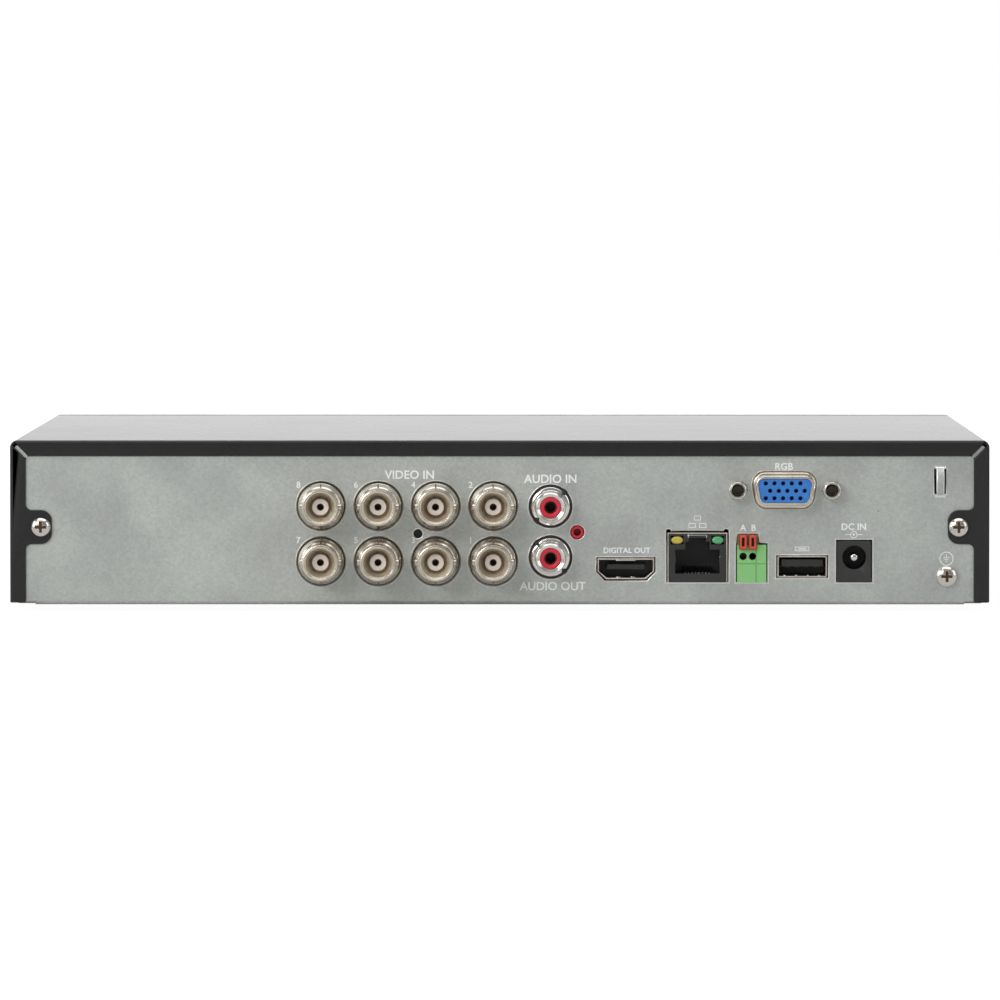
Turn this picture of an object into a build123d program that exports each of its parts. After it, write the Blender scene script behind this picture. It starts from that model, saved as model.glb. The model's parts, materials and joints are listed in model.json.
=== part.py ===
from build123d import *
import os
from math import acos, cos, degrees, hypot, radians, sin, tan

# Compact digital video recorder for coaxial cameras: a folded steel base with its connector panel, a black
# steel cover, a moulded front bezel, the main board with its rear connectors, a 3.5 inch hard drive and a fan.
# Millimetres. +Z is up, the front bezel faces -Y and the connector panel faces +Y.
# The origin is on the table, under the middle of the overall length and width.
# "across" runs from the case's -X side and "rise" from the underside of the base.

# ---------------------------------------------------------------- driving sizes: case
case_width = 260.0        # over the cover's sides
case_depth = 223.0        # steel case, front wall to rear flange
case_height = 43.6        # underside of the base to the top of the cover
bezel_depth = 12.0
sheet = 0.8               # steel thickness of base and cover
fold_radius = 0.4         # inside radius of a fold
cover_edge_radius = 1.9   # outside radius of the cover's long edges
cover_gap = 0.2           # slack between the base and the cover that slides over it
lip_height = 12.0         # folded side lips of the base
cover_lift = 0.5          # the cover's sides stop this far above the base's underside
flange_width = 4.2        # returns of the cover around the connector panel
mitre_gap = 0.9
corner_notch = 5.7        # fold relief in the base's rear corners
notch_depth = 6.0
front_notch = 2.5

foot_height = 2.0
foot_radius = 7.0
foot_inset_x = 22.0
foot_inset_front = 32.0
foot_inset_rear = 57.0

vent_width = 2.2
vent_length = 24.0
vent_pitch = 5.0
vent_count = 9
floor_vent_pitch = 8.0
drive_vent_start = 30.0   # first floor vent under the drive, from the drive's closed end
drive_vent_spread = 18.0  # the two rows under the drive, either side of its middle
drive_vent_count = 14
board_vent_start = 22.0   # the row under the main board, from the board's -X and front edges
board_vent_inward = 28.0
board_vent_count = 16
side_vent_y = 62.0        # middle of the rear group of side vents

# ---------------------------------------------------------------- driving sizes: fasteners
screw_radius = 1.5
thread_slack = 0.05       # radial room between a screw and the hole that it threads into
pass_slack = 0.25         # radial room where a screw only passes through
head_radius = 2.6
head_height = 1.9
recess_arm = 1.45         # cross recess: half its span
recess_width = 0.7
recess_depth = 1.1

tab_reach = 11.1          # cover tab, from the case's outside edge
tab_height = 9.1
tab_rise = 20.6
tab_corner = 3.0
tab_root = 1.5
tab_screw_inset = 8.2
cover_screw_length = 5.0
earth_screw_across = 11.3
earth_screw_rise = 7.5
earth_head_radius = 2.85
earth_screw_length = 5.0
loop_across = 13.05       # lanced tie-down loop in the panel
loop_rise = 32.7
loop_opening_width = 3.0
loop_opening_height = 6.6
loop_strap_width = 2.2
loop_bulge = 1.6

# ---------------------------------------------------------------- driving sizes: bezel
bezel_wall = 2.0
window_inset = 44.0       # from the case's +X side
window_width = 52.0
window_height = 11.0
window_thickness = 1.6
window_step = 1.5         # ledge that the window rests on
window_slack = 0.15
clip_width = 8.0
clip_thickness = 1.6
clip_reach = 3.2
clip_insets = (20.0, 92.0)  # from either side of the case
clip_drop = 9.0           # from the case's top to a clip
clip_slack = 0.25
hook_rise = 0.8
hook_length = 1.6

# ---------------------------------------------------------------- driving sizes: boards
board_width = 178.0
board_depth = 72.0
board_thickness = 1.6
board_top_rise = 5.9      # top of the main board above the underside
board_edge_across = 18.5
board_gap = 1.7           # between the board's edge and the connector panel
board_hole_inset = 4.0
standoff_radius = 2.75
board_screw_length = 4.0

front_board_width = 70.0
front_board_depth = 22.0
front_board_inset = 23.0  # from the case's +X side
front_board_reach = 8.0   # how far the front board comes forward of the front wall
front_port_rise = 14.5    # middle of the front port
front_port_inset = 34.0   # from the case's +X side to the port's middle
lamp_pitch = 9.0
lamp_radius = 1.5
lamp_count = 3

# ---------------------------------------------------------------- driving sizes: rear connectors
coax_across = 131.7       # the first column of coaxial sockets
coax_pitch = 15.24
coax_columns = 4
coax_rises = (11.5, 26.2)
coax_reach = 12.6         # from the panel's face
coax_barrel = 4.85
coax_bore = 4.06
coax_neck = 6.25
coax_neck_reach = 2.5
coax_cone_reach = 4.6
coax_back_flange = 6.9
coax_back_thickness = 1.2
coax_stem_length = 6.0
coax_stem_radius = 4.85
coax_floor = 2.0          # the bore's floor, from the panel's face
coax_core = 2.25
coax_core_reach = 8.6
coax_core_bore = 0.95
coax_contact = 0.9
coax_lug_height = 0.65    # above the barrel
coax_lug_radius = 1.0
coax_lug_setback = 5.0
coax_body_depth = 14.0
coax_body_margin = 7.6
pin_hole_across = 151.7
pin_hole_rise = 18.8
pin_hole_radius = 1.15

phono_across = 116.5
phono_rises = (12.6, 26.1)
phono_reach = 9.0
phono_barrel = 4.15
phono_flange = 5.65
phono_flange_reach = 0.6
phono_core = 2.83
phono_hole = 1.65
phono_core_setback = 0.4
phono_contact_wall = 0.3
phono_notch = 0.6         # radius of the two notches in a jack's root flange
phono_body_depth = 12.0
phono_body_right = 6.2    # from the jacks' middle to the body's +X side
phono_body_left = 9.6
phono_body_head = 6.3     # from the upper jack's middle to the body's top
phono_boss_across = 109.4
phono_boss_rise = 19.2
phono_boss_radius = 1.6
phono_boss_bore = 0.95
phono_boss_opening = 1.75

digital_across = 96.5
digital_rise = 9.5        # middle of the digital video socket
digital_width = 15.0
digital_height = 5.5
digital_side = 3.4        # straight part of the sides
digital_inset = 2.2       # how far the lower corners come in
digital_wall = 0.35
digital_depth = 11.5
digital_reach = 0.4       # how far the shell stands out of the panel
digital_back = 2.5        # plastic behind the socket
digital_tongue_width = 10.0
digital_tongue_height = 1.3
digital_tongue_reach = 7.0

network_across = 77.5
network_width = 15.9
network_height = 13.2
network_depth = 21.0
network_reach = 0.3
network_wall = 0.3
network_lens_width = 3.3
network_lens_height = 2.2
network_lens_edge = 0.6
network_lens_depth = 6.0
network_plug_width = 11.8
network_plug_height = 6.4
network_plug_floor = 2.3
network_latch_steps = ((6.4, 2.1), (4.4, 1.0))   # widths and heights of the latch's stepped way
network_plug_depth = 12.0
network_contact_count = 8
network_contact_pitch = 1.02
network_contact_width = 0.45
network_contact_rise = 2.0
network_ear_radius = 0.6

terminal_across = 63.1    # middle of the block
terminal_width = 7.8
terminal_height = 10.0
terminal_depth = 11.0
terminal_reach = 0.3
terminal_pitch = 2.54
terminal_pole_across = 64.1
terminal_wire_radius = 0.98
terminal_wire_rise = 12.8
terminal_groove = 0.25    # width and depth of the seams on the block's face
terminal_seam_rise = 10.8
terminal_seam_across = 61.9
terminal_wire_depth = 8.0
terminal_head = 4.4       # how far the block rises behind the panel, above its face
terminal_window_width = 5.6
terminal_window_height = 2.6
clamp_thickness = 0.5
lever_width = 1.9
lever_height = 3.8
lever_bottom_rise = 14.75
lever_depth = 6.5
lever_reach = 1.9         # how far a lever stands out of the panel
lever_slack = 0.1
lever_slot_width = 0.7
lever_slot_height = 2.3
lever_slot_depth = 1.6
lever_travel = 1.2

port_width = 13.15        # the flat data ports, rear and front
port_height = 5.7
port_depth = 14.0
port_wall = 0.35
port_reach = 0.4
port_tongue_width = 11.0
port_tongue_height = 1.9
port_tongue_drop = 0.6    # from the shell's inside top
port_tongue_setback = 1.4
port_back = 2.5
port_leg_width = 2.0
port_leg_places = (-12.0, -5.0)
port_contact_width = 1.0
port_contact_pitch = 2.5
port_contact_count = 4
port_contact_thickness = 0.25
rear_port_across = 49.7
rear_port_rise = 10.1

video_across = 54.4       # analogue video socket
video_rise = 30.4
video_width = 16.3
video_height = 7.9
video_corner = 2.4
video_slope = 10.0        # degrees, of the D's sides
video_reach = 5.6
video_wall = 0.75
video_swell = 0.85        # the shell's root stands out this far round the barrel
video_swell_reach = 0.8
video_plate_width = 30.8
video_plate_height = 12.5
video_plate_thickness = 0.6
video_body_depth = 24.0
video_leg_depth = 8.0
video_leg_width = 24.0
video_insert_setback = 0.3
video_hole_radius = 0.55
video_hole_pitch = 2.29
video_row_pitch = 1.98
video_row_offsets = (-0.5, 0.65, -0.5)
video_holes_in_row = 5
video_hole_depth = 4.0
jackscrew_spacing = 24.99
jackscrew_flats = 4.75
jackscrew_reach = 5.0
jackscrew_bore = 1.3
jackscrew_bore_depth = 4.5
jackscrew_shank = 5.0

power_across = 35.9
power_width = 9.0
power_height = 11.0
power_depth = 14.0
power_reach = 0.5
power_bore = 3.15
power_bore_rise = 12.5
power_bore_depth = 9.5
power_pin_radius = 1.05
power_pin_setback = 0.8

cutout_slack = 0.3        # room round a connector in its cut-out
fit_gap = 0.05            # between pieces that are pressed or moulded together

# ---------------------------------------------------------------- driving sizes: drive and fan
drive_length = 147.0
drive_width = 101.6
drive_height = 26.1
drive_across = 9.0        # the drive's end from the case's -X side
drive_setback = 6.5       # from the front wall's outer face
drive_boss_height = 3.0
drive_boss_radius = 5.5
drive_boss_flare = 2.0
drive_hole_span = 95.25
drive_hole_pitch = 44.45
drive_hole_first = 41.28  # from the connector end
drive_screw_radius = 1.7
drive_screw_depth = 5.0
drive_head_radius = 2.9
lid_thickness = 1.0
drive_well_floor = 9.0    # thickness of the casting under its well
well_radius = 48.9
well_wall = 3.0           # the casting's wall beside the actuator
pocket_margin = 2.0
spindle_inset = 51.3      # spindle axis from the drive's closed end
platter_radius = 47.5
platter_bore = 12.5
platter_thickness = 1.3
platter_gap = 2.6
platter_first = 4.0       # lower disc above the well's floor
platter_count = 2
spindle_radius = 5.0
running_gap = 0.05
hub_clearance = 0.5
clamp_radius = 15.0
actuator_distance = 56.0  # pivot to spindle
actuator_bearing = 35.0   # degrees, direction from spindle to pivot
actuator_arm = 50.0
actuator_track = 44.5     # radius on the disc where the heads rest
actuator_swing = 24.0
actuator_pivot_radius = 3.0
actuator_hub_radius = 6.5
arm_thickness = 1.0
arm_root_width = 9.0
arm_tip_width = 3.0
coil_reach = 25.0
coil_width = 20.0
coil_thickness = 2.0
magnet_inner = 12.0
magnet_outer = 32.0
magnet_half_angle = 26.0
magnet_plate = 2.5
magnet_wall = 2.0
magnet_gap = 1.0          # air gap over and under the coil
drive_board_thickness = 1.2
drive_board_length = 90.0
drive_board_margin = 9.0
drive_board_recess = 3.6
drive_board_setback = 0.4
plug_width = 16.0
power_plug_width = 21.0
plug_height = 6.0
plug_depth = 9.0
plug_gap = 3.0
plug_margin = 14.0
lead_radius = 1.6
power_lead_radius = 2.2
small_lead_radius = 1.2

fan_size = 40.0
fan_depth = 10.0
fan_hole_inset = 4.0      # from the fan's edges
fan_setback = 9.0         # from the front wall to the fan's edge
fan_rim = 1.2             # frame left beside the duct
fan_blades = 7
fan_tip_gap = 0.6
fan_hub = 9.5
fan_shaft = 1.5
fan_corner = 2.5
fan_plate = 1.6           # motor plate and struts
fan_blade_twist = 38.0
fan_blade_thickness = 0.9
fan_wall_margin = 3.0

# ---------------------------------------------------------------- driving sizes: pieces on the board
heatsink_size = 32.0
heatsink_base = 2.0
heatsink_height = 11.0
heatsink_fin = 1.0
heatsink_fins = 9
heatsink_along = 91.5     # from the board's -X edge
heatsink_inward = 32.0    # from the board's front edge
processor_size = 17.0
processor_height = 1.6
cell_radius = 10.0
cell_height = 3.2
cell_holder_wall = 1.5
cell_inset = 18.0
cell_inward = 30.0
header_height = 8.0
header_setback = 12.0     # from the board's front edge
headers = {
    # how far from the board's +X edge, width, depth
    "drive_power": (54.0, 12.0, 7.0),
    "drive_data": (34.0, 17.0, 7.0),
    "front_board": (17.0, 9.0, 6.0),
    "fan": (6.5, 6.0, 5.0),
}
chips = (
    # from the board's -X edge, from its front edge, width, depth
    (129.5, 22.0, 13.0, 9.0),
    (129.5, 35.0, 13.0, 9.0),
    (59.5, 40.0, 13.0, 10.0),
    (27.5, 26.0, 5.0, 5.0),
)
chip_height = 1.4
chip_bevel = 0.3
capacitors = (
    # from the board's -X edge, from its front edge, radius, height
    (11.5, 45.0, 4.0, 11.0),
    (11.5, 34.0, 4.0, 11.0),
    (43.5, 24.0, 3.2, 8.0),
    (65.5, 24.0, 3.2, 8.0),
)


# ---------------------------------------------------------------- places worked out from those sizes
coax_extra = coax_reach - sheet            # the sockets' reach past the rear flange
overall_length = bezel_depth + case_depth + coax_extra
rear_y = overall_length / 2 - coax_extra
panel_y = rear_y - sheet                   # outer face of the connector panel
inside_y = panel_y - sheet
front_y = rear_y - case_depth
bezel_y = front_y - bezel_depth
case_half = case_width / 2
base_half = case_half - sheet - cover_gap
floor_z = foot_height
floor_top = floor_z + sheet
top_z = floor_z + case_height
wall_top = top_z - sheet - cover_gap
cover_low = floor_z + cover_lift
board_top = floor_z + board_top_rise
board_bottom = board_top - board_thickness
board_x0 = board_edge_across - case_half
board_x1 = board_x0 + board_width
board_y1 = inside_y - board_gap
board_y0 = board_y1 - board_depth
drive_x0 = drive_across - case_half
drive_x1 = drive_x0 + drive_length
drive_y0 = front_y + drive_setback
drive_y1 = drive_y0 + drive_width
drive_y = (drive_y0 + drive_y1) / 2
drive_z0 = floor_top + drive_boss_height
drive_z1 = drive_z0 + drive_height
well_z = drive_z0 + drive_well_floor
lid_z = drive_z1 - lid_thickness
spindle_x = drive_x0 + spindle_inset
pivot_x = spindle_x + actuator_distance * cos(radians(actuator_bearing))
pivot_y = drive_y + actuator_distance * sin(radians(actuator_bearing))
platter_floors = [
    well_z + platter_first + level * (platter_thickness + platter_gap) for level in range(platter_count)
]
stack_top = platter_floors[-1] + platter_thickness
front_board_x1 = case_half - front_board_inset
front_board_x0 = front_board_x1 - front_board_width
window_x1 = case_half - window_inset
window_x0 = window_x1 - window_width
front_board_y0 = front_y - front_board_reach
front_board_y1 = front_board_y0 + front_board_depth
front_board_top = floor_z + front_port_rise - port_height / 2
front_board_bottom = front_board_top - board_thickness
window_z = floor_z + front_port_rise
fan_x1 = base_half - sheet
fan_x0 = fan_x1 - fan_depth
fan_y = front_y + fan_setback + fan_size / 2
fan_z = floor_top + fold_radius + cover_gap + fan_size / 2
data_plug_y = drive_y0 + plug_margin + plug_width / 2
power_plug_y = data_plug_y + plug_width / 2 + plug_gap + power_plug_width / 2
plug_z = drive_z0 + drive_board_recess + plug_height / 2
heatsink_x = board_x0 + heatsink_along
heatsink_y = board_y0 + heatsink_inward
header_y = board_y0 + header_setback
header_top = board_top + header_height
header_xs = {name: board_x1 - inset for name, (inset, width, depth) in headers.items()}
clip_z = top_z - clip_drop
cell_x = board_x1 - cell_inset
cell_y = board_y0 + cell_inward

coax_places = [
    (coax_across + column * coax_pitch - case_half, floor_z + rise)
    for rise in coax_rises
    for column in range(coax_columns)
]
phono_x = phono_across - case_half
phono_places = [floor_z + rise for rise in phono_rises]
video_x = video_across - case_half
video_z = floor_z + video_rise
jackscrew_places = [video_x + side * jackscrew_spacing / 2 for side in (-1, 1)]
pole_places = [terminal_pole_across - case_half + side * terminal_pitch / 2 for side in (1, -1)]
lever_z0 = floor_z + lever_bottom_rise
lever_z1 = lever_z0 + lever_height
rear_port = (rear_port_across - case_half, floor_z + rear_port_rise)
front_port = (case_half - front_port_inset, floor_z + front_port_rise)
tab_screw_places = [(side * (case_half - tab_screw_inset), floor_z + tab_rise) for side in (-1, 1)]
drive_screw_places = [
    (drive_x1 - drive_hole_first - step * drive_hole_pitch, drive_y + side * drive_hole_span / 2)
    for step in (0, 1)
    for side in (-1, 1)
]
main_holes = [
    (board_x0 + board_hole_inset, board_y0 + board_hole_inset),
    (board_x1 - board_hole_inset, board_y0 + board_hole_inset),
    (board_x0 + board_width / 2, board_y0 + board_hole_inset),
    (board_x0 + board_hole_inset, board_y1 - board_hole_inset),
    (board_x1 - board_hole_inset, board_y1 - board_hole_inset),
]
front_holes = [
    (front_board_x0 + board_hole_inset, front_board_y1 - board_hole_inset),
    (front_board_x1 - board_hole_inset, front_board_y1 - board_hole_inset),
]
lamp_places = [
    (window_x0 + window_x1) / 2 + (step - (lamp_count - 1) / 2) * lamp_pitch for step in range(lamp_count)
]
clip_places = [side * (case_half - inset) for side in (-1, 1) for inset in clip_insets]
coax_lug_reach = coax_barrel + coax_lug_height
fan_duct = fan_size / 2 - fan_rim
fan_hole = fan_size / 2 - fan_hole_inset


# ---------------------------------------------------------------- small helpers
def block(x0, x1, y0, y1, z0, z1):
    """A box between two corners."""
    return Pos((x0 + x1) / 2, (y0 + y1) / 2, (z0 + z1) / 2) * Box(x1 - x0, y1 - y0, z1 - z0)


def rod_x(x0, x1, y, z, radius):
    return Pos((x0 + x1) / 2, y, z) * Rot(0, 90, 0) * Cylinder(radius, x1 - x0)


def rod_y(x, y0, y1, z, radius):
    return Pos(x, (y0 + y1) / 2, z) * Rot(90, 0, 0) * Cylinder(radius, y1 - y0)


def rod_z(x, y, z0, z1, radius):
    return Pos(x, y, (z0 + z1) / 2) * Cylinder(radius, z1 - z0)


def prism_y(outline, x, y0, y1, z):
    """An outline drawn as seen from behind the recorder, made solid from y0 to y1."""
    plane = Plane(origin=(x, y0, z), x_dir=(-1, 0, 0), z_dir=(0, 1, 0))
    return extrude(plane * outline, y1 - y0)


def turned(points):
    """A body turned about Y from (radius, place along Y) points."""
    return revolve(make_face(Polyline(*points, close=True)), Axis.Y)


def edges_along(shape, axis):
    return shape.edges().filter_by(axis)


def save(name, *shapes):
    solids = [solid for shape in shapes for solid in shape.solids()]
    export_step(Compound(solids), f"parts/{name}.step")


def d_outline(width, height, corner):
    """A D-shaped outline with its wide side up."""
    lean = height * tan(radians(video_slope))
    half, high = width / 2, height / 2
    outline = Polygon((-half + lean, -high), (half - lean, -high), (half, high), (-half, high), align=None)
    return fillet(outline.vertices(), corner)


def digital_outline(grow):
    """Outline of the digital video socket, its wide side up, grown by a margin."""
    half, high = digital_width / 2 + grow, digital_height / 2 + grow
    knee = high - digital_side - grow
    foot = half - digital_inset
    return Polygon(
        (-half, high), (-half, knee), (-foot, -high), (foot, -high), (half, knee), (half, high), align=None,
    )


def screw(length, radius, radius_of_head):
    """A pan-head screw with a cross recess. Its head sits on the plane y = 0 and its shank points to -Y."""
    head = turned([
        (0, 0),
        (radius_of_head, 0),
        (radius_of_head, 0.35 * head_height),
        (0.93 * radius_of_head, 0.68 * head_height),
        (0.62 * radius_of_head, 0.95 * head_height),
        (0, head_height),
    ])
    shank = rod_y(0, -length, 0, 0, radius)
    arms = [
        block(
            -recess_arm, recess_arm, head_height - recess_depth, head_height, -recess_width / 2,
            recess_width / 2,
        ),
        block(
            -recess_width / 2, recess_width / 2, head_height - recess_depth, head_height, -recess_arm,
            recess_arm,
        ),
    ]
    return head + shank - arms


def down(shape):
    """Turns a screw that points to -Y so that it points down."""
    return Rot(90, 0, 0) * shape


def up(shape):
    """Turns a screw that points to -Y so that it points up."""
    return Rot(-90, 0, 0) * shape


def slots_in_side(x0, x1, middle_y, middle_z):
    """Upright vent slots through a side wall."""
    slots = []
    for step in range(vent_count):
        y = middle_y + (step - (vent_count - 1) / 2) * vent_pitch
        outline = Plane(
            origin=(x0, y, middle_z), x_dir=(0, 1, 0), z_dir=(1, 0, 0),
        ) * SlotOverall(vent_length, vent_width, rotation=90)
        slots.append(extrude(outline, x1 - x0))
    return slots


# ---------------------------------------------------------------- case
def folded_tray():
    """The base's floor, connector panel and front wall, folded from one sheet, with low side lips."""
    outer = block(-base_half, base_half, front_y, panel_y, floor_z, wall_top)
    outer = fillet(edges_along(outer, Axis.X).group_by(Axis.Z)[0], sheet + fold_radius)
    inner = block(-case_half, case_half, front_y + sheet, inside_y, floor_top, top_z)
    inner = fillet(edges_along(inner, Axis.X).group_by(Axis.Z)[0], fold_radius)
    tray = outer - inner
    tray = fillet(edges_along(tray, Axis.Y).group_by(Axis.Z)[-1], cover_edge_radius)
    lip_y0, lip_y1 = front_y + front_notch, inside_y - notch_depth
    lips = block(-base_half, base_half, lip_y0, lip_y1, floor_z, floor_z + lip_height)
    lips = fillet(edges_along(lips, Axis.Y).group_by(Axis.Z)[0], sheet + fold_radius)
    channel = block(-base_half + sheet, base_half - sheet, lip_y0, lip_y1, floor_top, top_z)
    channel = fillet(edges_along(channel, Axis.Y).group_by(Axis.Z)[0], fold_radius)
    for side in (-1, 1):
        edge = sorted((side * base_half, side * (base_half - sheet - fold_radius)))
        rear = sorted((side * case_half, side * (base_half - corner_notch)))
        front = sorted((side * case_half, side * (base_half - front_notch)))
        tray -= block(edge[0], edge[1], lip_y0, lip_y1, floor_z, floor_top)
        tray -= block(rear[0], rear[1], lip_y1, panel_y, floor_z, floor_top)
        tray -= block(front[0], front[1], front_y, lip_y0, floor_z, floor_top)
    tray += lips - channel
    fan_half = fan_size / 2 + fan_wall_margin
    fan_wall = block(
        fan_x1, base_half, fan_y - fan_half, fan_y + fan_half, floor_z + lip_height / 2,
        wall_top - cover_edge_radius,
    )
    return tray + fan_wall


def drive_boss(x, y):
    """A hollow boss pressed up from the floor, which the drive stands on."""
    foot = drive_boss_radius + drive_boss_flare
    shell = Pos(x, y, (floor_z + drive_z0) / 2) * Cone(foot, drive_boss_radius, drive_z0 - floor_z)
    hollow_top = drive_z0 - sheet
    hollow = Pos(x, y, (floor_z + hollow_top) / 2) * Cone(
        foot - sheet, drive_boss_radius - sheet, hollow_top - floor_z,
    )
    return shell, hollow


def panel_cuts():
    """Everything cut out of the connector panel."""
    y0, y1 = inside_y - 1, panel_y + 1
    cuts = [rod_y(x, y0, y1, z, coax_neck + cutout_slack) for x, z in coax_places]
    cuts += [rod_y(phono_x, y0, y1, z, phono_flange + cutout_slack / 3) for z in phono_places]
    cuts.append(rod_y(pin_hole_across - case_half, y0, y1, floor_z + pin_hole_rise, pin_hole_radius))
    cuts.append(rod_y(phono_boss_across - case_half, y0, y1, floor_z + phono_boss_rise, phono_boss_opening))
    cuts.append(
        prism_y(digital_outline(cutout_slack), digital_across - case_half, y0, y1, floor_z + digital_rise)
    )
    network_x = network_across - case_half
    network_half = network_width / 2 + cutout_slack
    network_z1 = board_top + network_height + cutout_slack
    cuts.append(block(network_x - network_half, network_x + network_half, y0, y1, board_top, network_z1))
    ear = network_half - network_ear_radius
    cuts += [rod_y(network_x + side * ear, y0, y1, network_z1, network_ear_radius) for side in (-1, 1)]
    terminal_x = terminal_across - case_half
    terminal_half = terminal_width / 2 + cutout_slack
    terminal_z1 = board_top + terminal_height + cutout_slack
    cuts.append(
        block(terminal_x - terminal_half, terminal_x + terminal_half, y0, y1, board_top, terminal_z1)
    )
    pole_x = terminal_pole_across - case_half
    half = terminal_window_width / 2
    cuts.append(
        block(pole_x - half, pole_x + half, y0, y1, board_top, terminal_z1 + terminal_window_height)
    )
    swell = 2 * (video_swell + cutout_slack / 2)
    outline = d_outline(video_width + swell, video_height + swell, video_corner + video_swell)
    cuts.append(prism_y(outline, video_x, y0, y1, video_z))
    cuts += [rod_y(x, y0, y1, video_z, screw_radius + pass_slack) for x in jackscrew_places]
    half, high = port_width / 2 + cutout_slack, port_height / 2 + cutout_slack / 2
    cuts.append(
        block(rear_port[0] - half, rear_port[0] + half, y0, y1, rear_port[1] - high, rear_port[1] + high)
    )
    power_x = power_across - case_half
    half = power_width / 2 + cutout_slack
    cuts.append(
        block(power_x - half, power_x + half, y0, y1, board_top, board_top + power_height + cutout_slack)
    )
    cuts += [rod_y(x, y0, y1, z, screw_radius + thread_slack) for x, z in tab_screw_places]
    earth_x, earth_z = earth_screw_across - case_half, floor_z + earth_screw_rise
    cuts.append(rod_y(earth_x, y0, y1, earth_z, screw_radius + thread_slack))
    return cuts


def tie_loop():
    """The lanced loop: its opening in the panel, and the strap that bows out of it."""
    x, z = loop_across - case_half, floor_z + loop_rise
    opening = block(
        x - loop_opening_width / 2, x + loop_opening_width / 2, inside_y - 1, panel_y + 1,
        z - loop_opening_height / 2, z + loop_opening_height / 2,
    )
    chord = loop_opening_height + 1.2
    radius = chord**2 / (8 * loop_bulge) + loop_bulge / 2
    axis_y = panel_y + loop_bulge - radius
    ring = rod_x(x - loop_strap_width / 2, x + loop_strap_width / 2, axis_y, z, radius)
    ring -= rod_x(x - loop_strap_width, x + loop_strap_width, axis_y, z, radius - sheet)
    keep = block(
        x - loop_strap_width, x + loop_strap_width, inside_y, panel_y + 2 * loop_bulge, z - chord,
        z + chord,
    )
    return opening, ring & keep


def floor_vents():
    rows = (
        (drive_x0 + drive_vent_start, drive_y - drive_vent_spread, drive_vent_count),
        (drive_x0 + drive_vent_start, drive_y + drive_vent_spread, drive_vent_count),
        (board_x0 + board_vent_start, board_y0 + board_vent_inward, board_vent_count),
    )
    vents = []
    for first_x, y, count in rows:
        for step in range(count):
            outline = Pos(
                first_x + step * floor_vent_pitch, y,
            ) * SlotOverall(vent_length, vent_width, rotation=90)
            vents.append(extrude(Plane.XY.offset(floor_z - 1) * outline, sheet + 2))
    return vents


def base_tray():
    tray = folded_tray()
    bosses = [drive_boss(x, y) for x, y in drive_screw_places]
    tray += [shell for shell, hollow in bosses]
    tray -= [hollow for shell, hollow in bosses]
    tray -= [
        rod_z(x, y, floor_z, drive_z0 + 1, drive_screw_radius + pass_slack) for x, y in drive_screw_places
    ]
    tray -= panel_cuts()
    opening, strap = tie_loop()
    tray -= opening
    tray += strap
    tray -= floor_vents()
    tray -= rod_x(fan_x1 - 1, base_half + 1, fan_y, fan_z, fan_duct)
    for y in (fan_y - fan_hole, fan_y + fan_hole):
        for z in (fan_z - fan_hole, fan_z + fan_hole):
            tray -= rod_x(fan_x1 - 1, base_half + 1, y, z, screw_radius + thread_slack)
    # the way for the front board and its port
    tray -= block(
        front_board_x0 - 1, front_board_x1 + 1, front_y - 1, front_y + sheet + 1,
        front_board_bottom - 1, front_board_top + port_height + 2,
    )
    for x in clip_places:
        half = clip_width / 2 + clip_slack
        z1 = clip_z + clip_thickness + hook_rise + clip_slack
        tray -= block(x - half, x + half, front_y - 1, front_y + sheet + 1, clip_z - clip_slack, z1)
    return tray


def top_cover():
    cover = block(-case_half, case_half, front_y, rear_y, cover_low, top_z)
    cover = fillet(edges_along(cover, Axis.Y).group_by(Axis.Z)[-1], cover_edge_radius)
    rear_rim = cover.faces().sort_by(Axis.Y)[-1].edges().filter_by(
        lambda edge: edge.center().Z > cover_low + 0.1
    )
    cover = fillet(rear_rim, sheet)
    inner = block(-case_half + sheet, case_half - sheet, front_y - 1, panel_y, floor_z - 1, top_z - sheet)
    cover -= fillet(edges_along(inner, Axis.Y).group_by(Axis.Z)[-1], cover_edge_radius - sheet)
    flange_x, flange_z = case_half - flange_width, top_z - flange_width
    cover -= block(-flange_x, flange_x, panel_y, rear_y + 1, floor_z - 1, flange_z)
    tab_x = case_half - tab_reach
    tab_z0, tab_z1 = floor_z + tab_rise - tab_height / 2, floor_z + tab_rise + tab_height / 2
    for side in (-1, 1):
        reach = sorted((side * tab_x, side * (flange_x + flange_width / 2)))
        cover += block(reach[0], reach[1], panel_y, rear_y, tab_z0, tab_z1)
        slit = Box(3 * flange_width, sheet, mitre_gap)
        cover -= Pos(side * case_half, panel_y + sheet / 2, top_z) * Rot(0, -45 * side, 0) * slit
    near_tab = edges_along(cover, Axis.Y).filter_by(
        lambda edge: tab_z0 - 0.1 < edge.center().Z < tab_z1 + 0.1 and edge.center().Y > panel_y
    )
    cover = fillet(near_tab.filter_by(lambda edge: abs(abs(edge.center().X) - tab_x) < 0.1), tab_corner)
    near_tab = edges_along(cover, Axis.Y).filter_by(
        lambda edge: tab_z0 - 0.1 < edge.center().Z < tab_z1 + 0.1 and edge.center().Y > panel_y
    )
    cover = fillet(near_tab.filter_by(lambda edge: abs(abs(edge.center().X) - flange_x) < 0.1), tab_root)
    cover -= [rod_y(x, panel_y - 1, rear_y + 1, z, screw_radius + pass_slack) for x, z in tab_screw_places]
    middle_z = (cover_low + top_z) / 2
    for side in (-1, 1):
        reach = sorted((side * (case_half + 1), side * (case_half - sheet - 0.1)))
        cover -= slots_in_side(reach[0], reach[1], fan_y, middle_z)
        cover -= slots_in_side(reach[0], reach[1], side_vent_y, middle_z)
    return cover


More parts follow.
